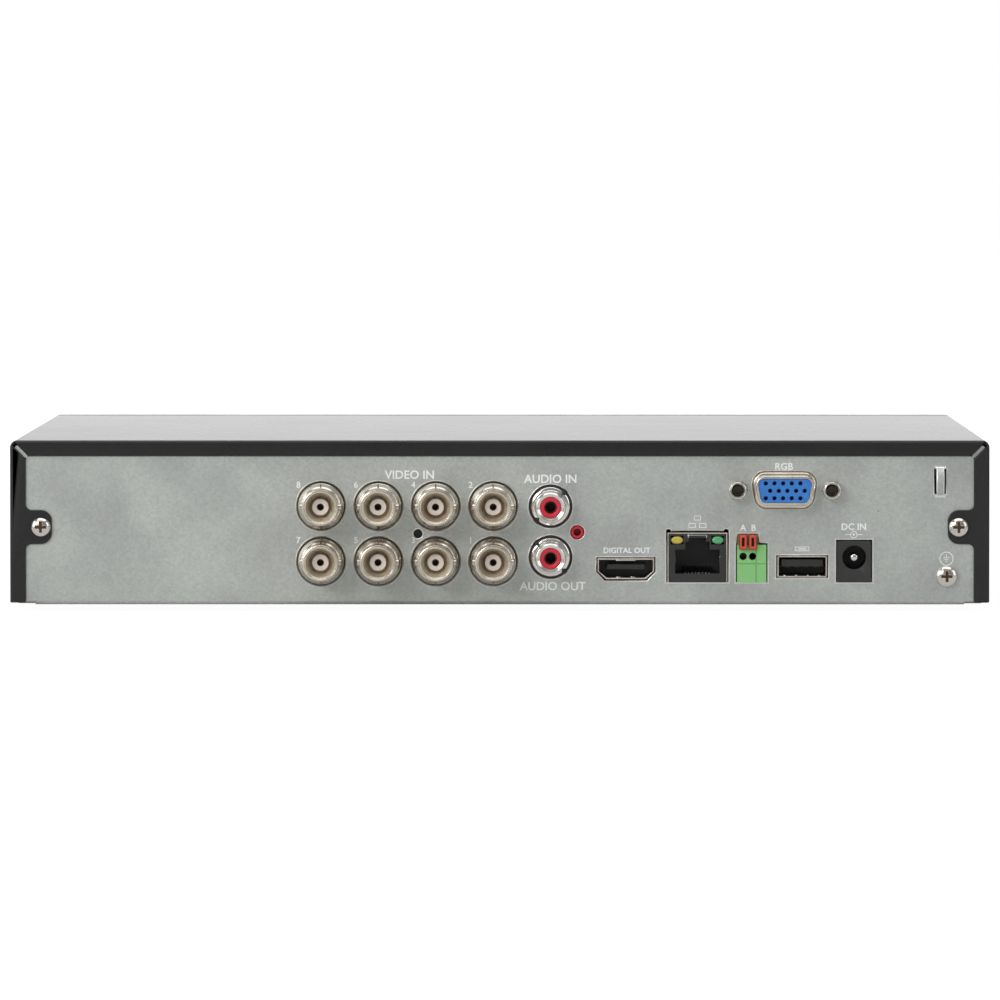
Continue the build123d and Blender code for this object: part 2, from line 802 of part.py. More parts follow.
def front_bezel():
    bezel = block(-case_half, case_half, bezel_y, front_y, floor_z, top_z)
    bezel = fillet(edges_along(bezel, Axis.Y), cover_edge_radius)
    bezel = fillet(bezel.faces().sort_by(Axis.Y)[0].edges(), cover_edge_radius - 0.1)
    bezel -= block(
        -case_half + bezel_wall, case_half - bezel_wall, bezel_y + bezel_wall, front_y,
        floor_z + bezel_wall, top_z - bezel_wall,
    )
    pocket_y = bezel_y + window_thickness + window_slack
    half = window_height / 2
    bezel += block(
        window_x0 - bezel_wall, window_x1 + bezel_wall, bezel_y + bezel_wall, pocket_y + bezel_wall,
        window_z - half - bezel_wall, window_z + half + bezel_wall,
    )
    bezel -= block(window_x0, window_x1, bezel_y - 1, pocket_y, window_z - half, window_z + half)
    bezel -= block(
        window_x0 + window_step, window_x1 - window_step, bezel_y, front_y,
        window_z - half + window_step, window_z + half - window_step,
    )
    half, high = port_width / 2 + cutout_slack, port_height / 2 + cutout_slack
    bezel -= block(
        front_port[0] - half, front_port[0] + half, bezel_y - 1, front_y, front_port[1] - high,
        front_port[1] + high,
    )
    for x in clip_places:
        x0, x1 = x - clip_width / 2, x + clip_width / 2
        z1 = clip_z + clip_thickness
        bezel += block(x0, x1, bezel_y + bezel_wall / 2, front_y + clip_reach, clip_z, z1)
        bezel += block(
            x0, x1, front_y + clip_reach - hook_length, front_y + clip_reach, clip_z, z1 + hook_rise,
        )
        bezel += block(
            x0, x1, bezel_y + bezel_wall / 2, front_y - hook_length, clip_z, top_z - bezel_wall / 2,
        )
    return bezel


def front_window():
    half = window_height / 2 - window_slack
    pane = block(
        window_x0 + window_slack, window_x1 - window_slack, bezel_y + window_slack,
        bezel_y + window_slack + window_thickness, window_z - half, window_z + half,
    )
    return fillet(pane.faces().sort_by(Axis.Y)[0].edges(), 0.4)


def rubber_feet():
    feet = []
    for x in (-case_half + foot_inset_x, case_half - foot_inset_x):
        for y in (front_y + foot_inset_front, rear_y - foot_inset_rear):
            foot = rod_z(x, y, 0, foot_height, foot_radius)
            feet.append(fillet(foot.edges().group_by(Axis.Z)[0], 0.6))
    return feet


# ---------------------------------------------------------------- boards
def main_board():
    board = block(board_x0, board_x1, board_y0, board_y1, board_bottom, board_top)
    return board - [
        rod_z(x, y, board_bottom - 1, board_top + 1, screw_radius + pass_slack) for x, y in main_holes
    ]


def front_board():
    board = block(
        front_board_x0, front_board_x1, front_board_y0, front_board_y1, front_board_bottom, front_board_top,
    )
    return board - [
        rod_z(
            x, y, front_board_bottom - 1, front_board_top + 1, screw_radius + pass_slack,
        ) for x, y in front_holes
    ]


def standoffs():
    pieces = []
    for holes, top in ((main_holes, board_bottom), (front_holes, front_board_bottom)):
        for x, y in holes:
            post = rod_z(x, y, floor_top, top, standoff_radius)
            pieces.append(post - rod_z(x, y, floor_top, top, screw_radius + thread_slack))
    return pieces


def board_screws():
    pieces = []
    for holes, top in ((main_holes, board_top), (front_holes, front_board_top)):
        for x, y in holes:
            pieces.append(Pos(x, y, top) * down(screw(board_screw_length, screw_radius, head_radius)))
    return pieces


def board_chips():
    pieces = []
    for along, inward, width, depth in chips:
        x, y, z0 = board_x0 + along, board_y0 + inward, board_top
        chip = block(x - width / 2, x + width / 2, y - depth / 2, y + depth / 2, z0, z0 + chip_height)
        pieces.append(chamfer(chip.edges().group_by(Axis.Z)[-1], chip_bevel))
    half = processor_size / 2
    pieces.append(block(
        heatsink_x - half, heatsink_x + half, heatsink_y - half, heatsink_y + half,
        board_top, board_top + processor_height,
    ))
    return pieces


def heatsink():
    half = heatsink_size / 2
    z0 = board_top + processor_height
    sink = block(
        heatsink_x - half, heatsink_x + half, heatsink_y - half, heatsink_y + half, z0,
        z0 + heatsink_height,
    )
    pitch = (heatsink_size - heatsink_fin) / (heatsink_fins - 1)
    for gap in range(heatsink_fins - 1):
        x0 = heatsink_x - half + heatsink_fin + gap * pitch
        sink -= block(
            x0, x0 + pitch - heatsink_fin, heatsink_y - half, heatsink_y + half,
            z0 + heatsink_base, z0 + heatsink_height,
        )
    return sink


def capacitor_cans():
    cans = []
    for along, inward, radius, height in capacitors:
        can = rod_z(board_x0 + along, board_y0 + inward, board_top, board_top + height, radius)
        cans.append(fillet(can.edges().group_by(Axis.Z)[-1], 0.5))
    return cans


def coin_cell():
    cell = rod_z(
        cell_x, cell_y, board_top + cell_holder_wall, board_top + cell_holder_wall + cell_height,
        cell_radius,
    )
    return fillet(cell.edges().group_by(Axis.Z)[-1], 0.5)


def coin_cell_holder():
    outer = cell_radius + cell_holder_wall
    top = board_top + cell_holder_wall + cell_height
    ring = rod_z(cell_x, cell_y, board_top, top, outer)
    ring -= rod_z(cell_x, cell_y, board_top + cell_holder_wall, top, cell_radius + fit_gap)
    return ring - block(
        cell_x - cell_radius / 2, cell_x + cell_radius / 2, cell_y, cell_y + outer,
        board_top + cell_holder_wall, top,
    )


def board_headers():
    pieces = []
    for name, (inset, width, depth) in headers.items():
        x = header_xs[name]
        shell = block(
            x - width / 2, x + width / 2, header_y - depth / 2, header_y + depth / 2, board_top, board_top + header_height,
        )
        pieces.append(chamfer(edges_along(shell, Axis.Z), 0.6))
    return pieces


# ---------------------------------------------------------------- coaxial sockets
def coax_shell(x, z):
    back_y = -sheet - fit_gap
    flange_y = back_y - coax_back_thickness
    shell = turned([
        (coax_core + fit_gap, flange_y - coax_stem_length),
        (coax_stem_radius, flange_y - coax_stem_length),
        (coax_stem_radius, flange_y),
        (coax_back_flange, flange_y),
        (coax_back_flange, back_y),
        (coax_neck, back_y),
        (coax_neck, coax_neck_reach),
        (coax_barrel, coax_cone_reach),
        (coax_barrel, coax_reach - 0.3),
        (coax_barrel - 0.3, coax_reach),
        (coax_bore + 0.2, coax_reach),
        (coax_bore, coax_reach - 0.4),
        (coax_bore, coax_floor),
        (coax_core + fit_gap, coax_floor),
    ])
    lug_y = coax_reach - coax_lug_setback
    lugs = rod_x(-coax_lug_reach, coax_lug_reach, lug_y, 0, coax_lug_radius)
    lugs -= rod_y(
        0, lug_y - 2 * coax_lug_radius, lug_y + 2 * coax_lug_radius, 0, (coax_bore + coax_barrel) / 2,
    )
    return Pos(x, panel_y, z) * (shell + lugs)


def coax_insulator(x, z):
    back_y = -sheet - coax_back_thickness - coax_stem_length
    core = turned([
        (coax_core_bore, back_y),
        (coax_core, back_y),
        (coax_core, coax_core_reach - 0.3),
        (coax_core - 0.3, coax_core_reach),
        (coax_core_bore, coax_core_reach),
    ])
    return Pos(x, panel_y, z) * core


def coax_contact_piece(x, z):
    """The sprung socket in the middle: a tube with a cross slit, closed at its back."""
    back_y = -sheet - coax_back_thickness - coax_stem_length - 2.0
    tip_y = coax_core_reach - 1.2
    pin = rod_y(0, back_y, tip_y, 0, coax_contact)
    pin -= rod_y(0, tip_y - 6.0, tip_y, 0, coax_contact * 0.55)
    pin -= block(-coax_contact, coax_contact, tip_y - 4.0, tip_y, -0.1, 0.1)
    return Pos(x, panel_y, z) * pin


def coax_housing():
    xs = [x for x, z in coax_places]
    y1 = inside_y - 2 * fit_gap - coax_back_thickness
    y0 = inside_y - coax_body_depth
    body = block(
        min(xs) - coax_body_margin, max(xs) + coax_body_margin, y0, y1,
        board_top, max(z for x, z in coax_places) + coax_body_margin,
    )
    body = chamfer(edges_along(body, Axis.Y).group_by(Axis.Z)[-1], 1.0)
    body -= [rod_y(x, y0 + 1.5, y1, z, coax_stem_radius + fit_gap) for x, z in coax_places]
    return body


# ---------------------------------------------------------------- phono jacks
def phono_shell(index):
    z = phono_places[index]
    shell = turned([
        (phono_core + fit_gap, -sheet - fit_gap),
        (phono_flange, -sheet - fit_gap),
        (phono_flange, phono_flange_reach),
        (phono_barrel + 0.4, phono_flange_reach),
        (phono_barrel, phono_flange_reach + 0.4),
        (phono_barrel, phono_reach - 0.5),
        (phono_barrel - 0.5, phono_reach),
        (phono_core + 0.4, phono_reach),
        (phono_core + fit_gap, phono_reach - 0.3),
    ])
    slant = 1 if index else -1
    for side in (-1, 1):
        notch_x = side * slant * phono_flange * cos(radians(45))
        notch_z = side * phono_flange * sin(radians(45))
        shell -= rod_y(notch_x, -sheet - 1, phono_flange_reach + 1, notch_z, phono_notch)
    return Pos(phono_x, panel_y, z) * shell


def phono_core_piece(z):
    back_y = -sheet - phono_body_depth / 2
    core = turned([
        (phono_hole, back_y),
        (phono_core, back_y),
        (phono_core, phono_reach - phono_core_setback),
        (phono_hole + 0.3, phono_reach - phono_core_setback),
        (phono_hole, phono_reach - phono_core_setback - 0.3),
    ])
    return Pos(phono_x, panel_y, z) * core


def phono_contact_piece(z):
    back_y = -sheet - phono_body_depth / 2
    outer = phono_hole - fit_gap
    sleeve = rod_y(0, back_y, phono_reach - 3.0, 0, outer) - rod_y(
        0, back_y + 1.0, phono_reach - 3.0, 0, outer - phono_contact_wall,
    )
    return Pos(phono_x, panel_y, z) * sleeve


def phono_housing():
    y1 = inside_y - 2 * fit_gap
    y0 = inside_y - phono_body_depth
    body = block(
        phono_x - phono_body_left, phono_x + phono_body_right, y0, y1, board_top,
        phono_places[-1] + phono_body_head,
    )
    body = fillet(edges_along(body, Axis.Y).group_by(Axis.Z)[-1], 1.0)
    body -= [
        rod_y(phono_x, y1 - phono_body_depth / 2 - 1, y1, z, phono_core + fit_gap) for z in phono_places
    ]
    boss_x, boss_z = phono_boss_across - case_half, floor_z + phono_boss_rise
    body += rod_y(boss_x, y1 - 1, panel_y + 0.2, boss_z, phono_boss_radius)
    return body - rod_y(boss_x, y1 - 3, panel_y + 1, boss_z, phono_boss_bore)


# ---------------------------------------------------------------- digital video socket
def digital_shell():
    x, z = digital_across - case_half, floor_z + digital_rise
    y1 = panel_y + digital_reach
    y0 = y1 - digital_depth
    shell = prism_y(digital_outline(0), x, y0, y1, z)
    shell -= prism_y(digital_outline(-digital_wall), x, y0, y1, z)
    for side in (-1, 1):
        leg_x = x + side * (digital_width / 2 - digital_wall / 2)
        shell += block(leg_x - digital_wall / 2, leg_x + digital_wall / 2, y0 + 1.5, y0 + 4.5, board_top, z)
    return shell


def digital_tongue():
    x, z = digital_across - case_half, floor_z + digital_rise
    y0 = panel_y + digital_reach - digital_depth
    back = prism_y(digital_outline(-digital_wall - fit_gap), x, y0, y0 + digital_back, z)
    half = digital_tongue_width / 2
    tongue_z = z + 0.45
    tongue = block(
        x - half, x + half, y0 + digital_back, y0 + digital_back + digital_tongue_reach,
        tongue_z - digital_tongue_height / 2, tongue_z + digital_tongue_height / 2,
    )
    return back + tongue


# ---------------------------------------------------------------- network socket
def network_lens_box(side, slack):
    x = network_across - case_half
    edge = network_width / 2 - network_wall - network_lens_edge + slack
    inner = edge - network_lens_width - 2 * slack
    z1 = board_top + network_height - network_wall - network_lens_edge + slack
    span = sorted((x + side * edge, x + side * inner))
    y1 = panel_y + network_reach
    return block(
        span[0], span[1], y1 - network_lens_depth - slack, y1, z1 - network_lens_height - 2 * slack, z1,
    )


def network_shield():
    x = network_across - case_half
    y1 = panel_y + network_reach
    y0 = y1 - network_depth
    z1 = board_top + network_height
    half = network_width / 2
    shield = block(x - half, x + half, y0, y1, board_top, z1)
    shield -= block(
        x - half + network_wall, x + half - network_wall, y0 + network_wall, y1, board_top, z1 - network_wall,
    )
    return shield


def network_housing():
    x = network_across - case_half
    y1 = panel_y + network_reach - 0.1
    y0 = panel_y + network_reach - network_depth + network_wall + fit_gap
    half = network_width / 2 - network_wall - fit_gap
    z1 = board_top + network_height - network_wall - fit_gap
    body = block(x - half, x + half, y0, y1, board_top, z1)
    way = y1 - network_plug_depth
    z = board_top + network_plug_floor
    body -= block(
        x - network_plug_width / 2, x + network_plug_width / 2, way, y1, z, z + network_plug_height,
    )
    z += network_plug_height
    for width, height in network_latch_steps:
        body -= block(x - width / 2, x + width / 2, way, y1, z, z + height)
        z += height
    for side in (-1, 1):
        body -= network_lens_box(side, fit_gap)
    slot_z = board_top + network_plug_floor
    for index in range(network_contact_count):
        contact_x = x + (index - (network_contact_count - 1) / 2) * network_contact_pitch
        half_slot = network_contact_width / 2 + fit_gap
        body -= block(contact_x - half_slot, contact_x + half_slot, way, y1 - 1.5, slot_z - 0.6, slot_z)
    return body


def network_contacts():
    """Sprung wires that rise from the socket's floor towards its back."""
    x = network_across - case_half
    y1 = panel_y + network_reach - 2.2
    y0 = y1 - network_plug_depth + 3.2
    z0 = board_top + network_plug_floor - 0.5
    pieces = []
    for index in range(network_contact_count):
        contact_x = x + (index - (network_contact_count - 1) / 2) * network_contact_pitch
        z1 = z0 + network_contact_rise
        side = Polygon(
            (y1, z0), (y1, z0 + network_contact_width), (y0, z1), (y0, z1 - network_contact_width),
            (y1 - network_contact_width, z0), align=None,
        )
        plane = Plane(
            origin=(contact_x - network_contact_width / 2, 0, 0), x_dir=(0, 1, 0), z_dir=(1, 0, 0),
        )
        pieces.append(extrude(plane * side, network_contact_width))
    return pieces


# ---------------------------------------------------------------- push terminal
def lever_channel(x):
    half = lever_width / 2 + lever_slack
    y0 = panel_y + lever_reach - lever_depth - lever_travel - lever_slack
    return block(x - half, x + half, y0, panel_y + 1, lever_z0 - lever_slack, lever_z1 + lever_slack)


def clamp_box(x, slack):
    half = terminal_wire_radius + 0.1 + slack
    y0 = panel_y + terminal_reach - terminal_depth + 1.6
    z = floor_z + terminal_wire_rise
    return x - half, x + half, y0 - slack, y0 + 3.0 + slack, board_top, z + 1.6 + slack


def terminal_block():
    x = terminal_across - case_half
    y1 = panel_y + terminal_reach
    y0 = y1 - terminal_depth
    body = block(
        x - terminal_width / 2, x + terminal_width / 2, y0, y1, board_top, board_top + terminal_height,
    )
    pole_x = terminal_pole_across - case_half
    half = terminal_pitch + 0.25
    body += block(
        pole_x - half, pole_x + half, y0, inside_y - fit_gap, board_top,
        board_top + terminal_height + terminal_head,
    )
    for x in pole_places:
        body -= lever_channel(x)
        body -= rod_y(x, y1 - terminal_wire_depth, y1, floor_z + terminal_wire_rise, terminal_wire_radius)
        x0, x1, cy0, cy1, z0, z1 = clamp_box(x, fit_gap)
        body -= block(x0, x1, cy0, cy1, z0, z1)
    half_seam = terminal_groove / 2
    seam_z, seam_x = floor_z + terminal_seam_rise, terminal_seam_across - case_half
    body -= block(
        x - terminal_width, x + terminal_width, y1 - terminal_groove, y1 + 1, seam_z - half_seam,
        seam_z + half_seam,
    )
    body -= block(
        seam_x - half_seam, seam_x + half_seam, y1 - terminal_groove, y1 + 1, board_top,
        board_top + terminal_height,
    )
    return body


def terminal_lever(x):
    y1 = panel_y + lever_reach
    lever = block(x - lever_width / 2, x + lever_width / 2, y1 - lever_depth, y1, lever_z0, lever_z1)
    lever = fillet(lever.faces().sort_by(Axis.Y)[-1].edges(), 0.25)
    middle_z = (lever_z0 + lever_z1) / 2
    half, high = lever_slot_width / 2, lever_slot_height / 2
    return lever - block(x - half, x + half, y1 - lever_slot_depth, y1, middle_z - high, middle_z + high)


def terminal_clamps():
    """One sprung cage for each pole."""
    pieces = []
    for x in pole_places:
        x0, x1, y0, y1, z0, z1 = clamp_box(x, 0)
        cage = block(x0, x1, y0, y1, z0, z1)
        pieces.append(cage - block(
            x0, x1, y0 + clamp_thickness, y1 - clamp_thickness, z0 + clamp_thickness, z1 - clamp_thickness,
        )
                      - rod_y(
                          x, y1 - clamp_thickness, y1, floor_z + terminal_wire_rise, terminal_wire_radius,
                      ))
    return pieces


# ---------------------------------------------------------------- flat data ports
def port_pieces(leg):
    """A port whose mouth is at the origin and faces +Y: its shell, its tongue and its contacts.

    Its shell stands on legs of the given length, or straight on the board where that is zero.
    """
    half, high = port_width / 2, port_height / 2
    shell = block(-half, half, -port_depth, 0, -high, high)
    shell = fillet(edges_along(shell, Axis.Y), 0.5)
    shell -= block(-half + port_wall, half - port_wall, -port_depth, 0, -high + port_wall, high - port_wall)
    if leg > 0:
        for side in (-1, 1):
            x = side * (half - port_wall / 2)
            for y in port_leg_places:
                shell += block(x - port_wall / 2, x + port_wall / 2, y, y + port_leg_width, -high - leg, 0)
    inner = high - port_wall - fit_gap
    back = block(
        -half + port_wall + fit_gap, half - port_wall - fit_gap, -port_depth, -port_depth + port_back,
        -inner, inner,
    )
    tongue_z1 = high - port_wall - port_tongue_drop
    tongue_z0 = tongue_z1 - port_tongue_height
    tongue = back + block(
        -port_tongue_width / 2, port_tongue_width / 2, -port_depth + port_back, -port_tongue_setback, tongue_z0, tongue_z1,
    )
    contacts = []
    for index in range(port_contact_count):
        x = (index - (port_contact_count - 1) / 2) * port_contact_pitch
        contacts.append(block(
            x - port_contact_width / 2, x + port_contact_width / 2, -port_depth + port_back + fit_gap,
            -port_tongue_setback - 0.6, tongue_z0 - port_contact_thickness, tongue_z0,
        ))
    return [shell], [tongue], contacts


def data_ports():
    rear_place = Pos(rear_port[0], panel_y + port_reach, rear_port[1])
    front_place = Pos(front_port[0], bezel_y + port_reach, front_port[1]) * Rot(0, 0, 180)
    rear = port_pieces(rear_port[1] - port_height / 2 - board_top)
    front = port_pieces(0)
    return [
        [rear_place * piece for piece in rear_kind] + [front_place * piece for piece in front_kind]
        for rear_kind, front_kind in zip(rear, front)
    ]


# ---------------------------------------------------------------- analogue video socket
def video_shell():
    swell = 2 * video_swell
    barrel = prism_y(
        d_outline(video_width, video_height, video_corner), video_x, inside_y, panel_y + video_reach,
        video_z,
    )
    barrel = fillet(barrel.faces().sort_by(Axis.Y)[-1].edges(), 0.35)
    root = prism_y(
        d_outline(video_width + swell, video_height + swell, video_corner + video_swell),
        video_x, inside_y - fit_gap, panel_y + video_swell_reach, video_z,
    )
    root = fillet(root.faces().sort_by(Axis.Y)[-1].edges(), 0.6)
    plate_y1 = inside_y - fit_gap
    plate_y0 = plate_y1 - video_plate_thickness
    half, high = video_plate_width / 2, video_plate_height / 2
    plate = block(video_x - half, video_x + half, plate_y0, plate_y1, video_z - high, video_z + high)
    plate -= [
        rod_y(x, plate_y0 - 1, plate_y1 + 1, video_z, screw_radius + pass_slack) for x in jackscrew_places
    ]
    hollow = prism_y(
        d_outline(video_width - 2 * video_wall, video_height - 2 * video_wall, video_corner - video_wall),
        video_x, plate_y0 - 1, panel_y + video_reach + 1, video_z,
    )
    return barrel + root + plate - hollow


def video_insert():
    shrink = 2 * (video_wall + fit_gap)
    y1 = panel_y + video_reach - video_insert_setback
    y0 = inside_y - fit_gap - video_plate_thickness
    insert = prism_y(
        d_outline(
            video_width - shrink, video_height - shrink, video_corner - video_wall - fit_gap,
        ), video_x, y0, y1, video_z,
    )
    holes = []
    for row, offset_x in enumerate(video_row_offsets):
        z = video_z + (1 - row) * video_row_pitch
        for index in range(video_holes_in_row):
            x = video_x - offset_x - (index - (video_holes_in_row - 1) / 2) * video_hole_pitch
            holes.append(rod_y(x, y1 - video_hole_depth, y1, z, video_hole_radius))
    return insert - holes


def video_housing():
    """The socket's tall plastic body. Its leg comes down to the board behind the lower connectors."""
    y1 = inside_y - 2 * fit_gap - video_plate_thickness
    y0 = inside_y - video_body_depth
    high = video_plate_height / 2
    half = video_plate_width / 2
    body = block(
        video_x - half, video_x + half, inside_y - video_body_depth / 2, y1, video_z - high, video_z + high,
    )
    half = video_leg_width / 2
    body += block(video_x - half, video_x + half, y0, y1 - 1, video_z - high, video_z + high)
    body += block(video_x - half, video_x + half, y0, y0 + video_leg_depth, board_top, video_z + high)
    return body - [
        rod_y(
            x, panel_y - jackscrew_shank - 1, panel_y, video_z, screw_radius + thread_slack,
        ) for x in jackscrew_places
    ]


def jackscrews():
    pieces = []
    for x in jackscrew_places:
        hexagon = RegularPolygon(jackscrew_flats / 2, 6, major_radius=False, rotation=30)
        body = prism_y(hexagon, x, panel_y, panel_y + jackscrew_reach, video_z)
        crown = turned([
            (0, 0),
            (jackscrew_flats, 0),
            (jackscrew_flats, jackscrew_reach - 1.6),
            (jackscrew_flats / 2 - 0.1, jackscrew_reach),
            (0, jackscrew_reach),
        ])
        body = body & (Pos(x, panel_y, video_z) * crown)
        body += rod_y(x, panel_y - jackscrew_shank, panel_y, video_z, screw_radius)
        tip = panel_y + jackscrew_reach
        pieces.append(body - rod_y(x, tip - jackscrew_bore_depth, tip, video_z, jackscrew_bore))
    return pieces


# ---------------------------------------------------------------- power inlet
def power_jack():
    x = power_across - case_half
    y1 = panel_y + power_reach
    body = block(
        x - power_width / 2, x + power_width / 2, y1 - power_depth, y1, board_top, board_top + power_height,
    )
    body = fillet(edges_along(body, Axis.Y).group_by(Axis.Z)[-1], 0.6)
    return body - rod_y(x, y1 - power_bore_depth, y1, floor_z + power_bore_rise, power_bore)


def power_pin():
    x = power_across - case_half
    y1 = panel_y + power_reach
    pin = rod_y(
        x, y1 - power_bore_depth, y1 - power_pin_setback, floor_z + power_bore_rise, power_pin_radius,
    )
    return fillet(pin.edges().group_by(Axis.Y)[-1], 0.5)


# ---------------------------------------------------------------- hard drive
def drive_casting():
    casting = block(drive_x0, drive_x1, drive_y0, drive_y1, drive_z0, lid_z)
    casting = fillet(edges_along(casting, Axis.Z), 2.0)
    casting -= rod_z(spindle_x, drive_y, well_z, lid_z, well_radius)
    coil_sweep = hypot(coil_reach, coil_width / 2)
    pocket = block(
        spindle_x, pivot_x + magnet_outer + pocket_margin, pivot_y - coil_sweep - pocket_margin,
        drive_y1 - well_wall, well_z, lid_z,
    )
    casting -= fillet(edges_along(pocket, Axis.Z), pocket_margin)
    board_y = drive_width / 2 - drive_board_margin
    casting -= block(
        drive_x1 - drive_board_length - 1, drive_x1, drive_y - board_y, drive_y + board_y,
        drive_z0, drive_z0 + drive_board_recess,
    )
    for y, width in ((data_plug_y, plug_width), (power_plug_y, power_plug_width)):
        casting -= block(
            drive_x1 - plug_depth / 2, drive_x1, y - width / 2 - cutout_slack, y + width / 2 + cutout_slack,
            drive_z0, plug_z + plug_height / 2 + cutout_slack,
        )
    casting += rod_z(spindle_x, drive_y, well_z, stack_top, spindle_radius)
    casting += rod_z(pivot_x, pivot_y, well_z, stack_top + arm_thickness, actuator_pivot_radius)
    casting -= [
        rod_z(
            x, y, drive_z0, drive_z0 + drive_screw_depth, drive_screw_radius + thread_slack,
        ) for x, y in drive_screw_places
    ]
    return casting


def drive_lid():
    lid = block(drive_x0, drive_x1, drive_y0, drive_y1, lid_z, drive_z1)
    lid = fillet(edges_along(lid, Axis.Z), 2.0)
    return chamfer(lid.edges().group_by(Axis.Z)[-1], 0.3)


def drive_board():
    half = drive_width / 2 - drive_board_margin - cutout_slack
    z1 = drive_z0 + drive_board_recess - drive_board_setback
    board = block(
        drive_x1 - drive_board_length, drive_x1 - plug_depth / 2, drive_y - half, drive_y + half,
        z1 - drive_board_thickness, z1,
    )
    return fillet(edges_along(board, Axis.Z), 3.0)


def drive_platters():
    return [
        rod_z(spindle_x, drive_y, z, z + platter_thickness, platter_radius)
        - rod_z(spindle_x, drive_y, z, z + platter_thickness, platter_bore)
        for z in platter_floors
    ]


def drive_hub():
    """The motor's bell, with the spacer between the discs and the clamp over them."""
    bottom = well_z + hub_clearance
    hub = rod_z(spindle_x, drive_y, bottom, stack_top, platter_bore - fit_gap)
    hub += rod_z(spindle_x, drive_y, bottom, platter_floors[0] - fit_gap, clamp_radius)
    for lower, upper in zip(platter_floors, platter_floors[1:]):
        hub += rod_z(spindle_x, drive_y, lower + platter_thickness + fit_gap, upper - fit_gap, clamp_radius)
    hub -= rod_z(spindle_x, drive_y, bottom, stack_top, spindle_radius + running_gap)
    hub += rod_z(spindle_x, drive_y, stack_top + fit_gap, stack_top + 2.0, clamp_radius)
    return hub


def arm_outline():
    """One arm of the actuator, pointing to +X from its pivot."""
    half_root, half_tip = arm_root_width / 2, arm_tip_width / 2
    return Polygon(
        (0, -half_root), (actuator_arm, -half_tip), (actuator_arm, half_tip), (0, half_root), align=None,
    )


def actuator_angle():
    """Direction from the pivot to the heads at rest, in degrees."""
    reach, track, span = actuator_arm, actuator_track, actuator_distance
    return actuator_bearing + 180.0 - degrees(acos((span**2 + reach**2 - track**2) / (2 * span * reach)))


def arm_levels():
    gap = (platter_gap - arm_thickness) / 2
    levels = [floor - gap - arm_thickness for floor in platter_floors]
    levels.append(stack_top + gap)
    return levels


def coil_z():
    return (arm_levels()[0] + arm_levels()[-1] + arm_thickness - coil_thickness) / 2


def drive_actuator():
    levels = arm_levels()
    low, high = levels[0] - 0.5, levels[-1] + arm_thickness
    body = rod_z(0, 0, low, high, actuator_hub_radius)
    body += [extrude(Plane.XY.offset(level) * arm_outline(), arm_thickness) for level in levels]
    coil = block(-coil_reach, 0, -coil_width / 2, coil_width / 2, coil_z(), coil_z() + coil_thickness)
    coil = fillet(edges_along(coil, Axis.Z).group_by(Axis.X)[0], 5.0)
    window = block(
        -coil_reach + 4.0, -actuator_hub_radius - 2.0, -coil_width / 2 + 5.0, coil_width / 2 - 5.0,
        coil_z(), coil_z() + coil_thickness,
    )
    body += coil - window
    body -= rod_z(0, 0, low, high, actuator_pivot_radius + running_gap)
    return Pos(pivot_x, pivot_y, 0) * Rot(0, 0, actuator_angle()) * body


def drive_magnets():
    """The yoke: a thick lower block, a back wall and an upper plate around the coil's way."""
    low, coil_low = well_z, coil_z() - magnet_gap
    coil_high = coil_z() + coil_thickness + magnet_gap
    high = coil_high + magnet_plate
    yoke = rod_z(0, 0, low, high, magnet_outer) - rod_z(0, 0, low, high, magnet_inner)
    yoke -= rod_z(0, 0, coil_low, coil_high, magnet_outer - magnet_wall)
    reach = 2 * magnet_outer
    spread = reach * tan(radians(magnet_half_angle))
    wedge = extrude(
        Plane.XY.offset(low) * Polygon((0, 0), (reach, -spread), (reach, spread), align=None), high - low,
    )
    bearing = actuator_angle() - 180.0 + actuator_swing / 2
    return Pos(pivot_x, pivot_y, 0) * Rot(0, 0, bearing) * (yoke & wedge)


def drive_screws():
    seat = drive_z0 - sheet
    length = sheet + drive_screw_depth - 0.5
    return [
        Pos(x, y, seat) * up(
            screw(length, drive_screw_radius, drive_head_radius)
        ) for x, y in drive_screw_places
    ]


def drive_plugs():
    pieces = []
    for y, width in ((data_plug_y, plug_width), (power_plug_y, power_plug_width)):
        plug = block(
            drive_x1 - plug_depth / 2 + cutout_slack, drive_x1 + plug_depth, y - width / 2, y + width / 2,
            plug_z - plug_height / 2, plug_z + plug_height / 2,
        )
        pieces.append(fillet(edges_along(plug, Axis.Z).group_by(Axis.X)[-1], 1.5))
    return pieces


# ---------------------------------------------------------------- leads
def lead(points, radius):
    """A round lead along straight runs joined by arcs as large as the runs allow."""
    corners = [Vector(*point) for point in points]
    radii = []
    for before, here, after in zip(corners, corners[1:], corners[2:]):
        turn = (here - before).get_angle(after - here)
        shorter = min((here - before).length, (after - here).length)
        radii.append(0.45 * shorter / tan(radians(turn) / 2))
    print("lead radii", [round(value, 1) for value in radii])
    path = FilletPolyline(*corners, radius=radii)
    start = Plane(origin=path @ 0, z_dir=path % 0)
    tube = sweep(start * Circle(radius), path)
    print("lead volume ratio", round(tube.volume / (Circle(radius).area * path.length), 4))
    return tube


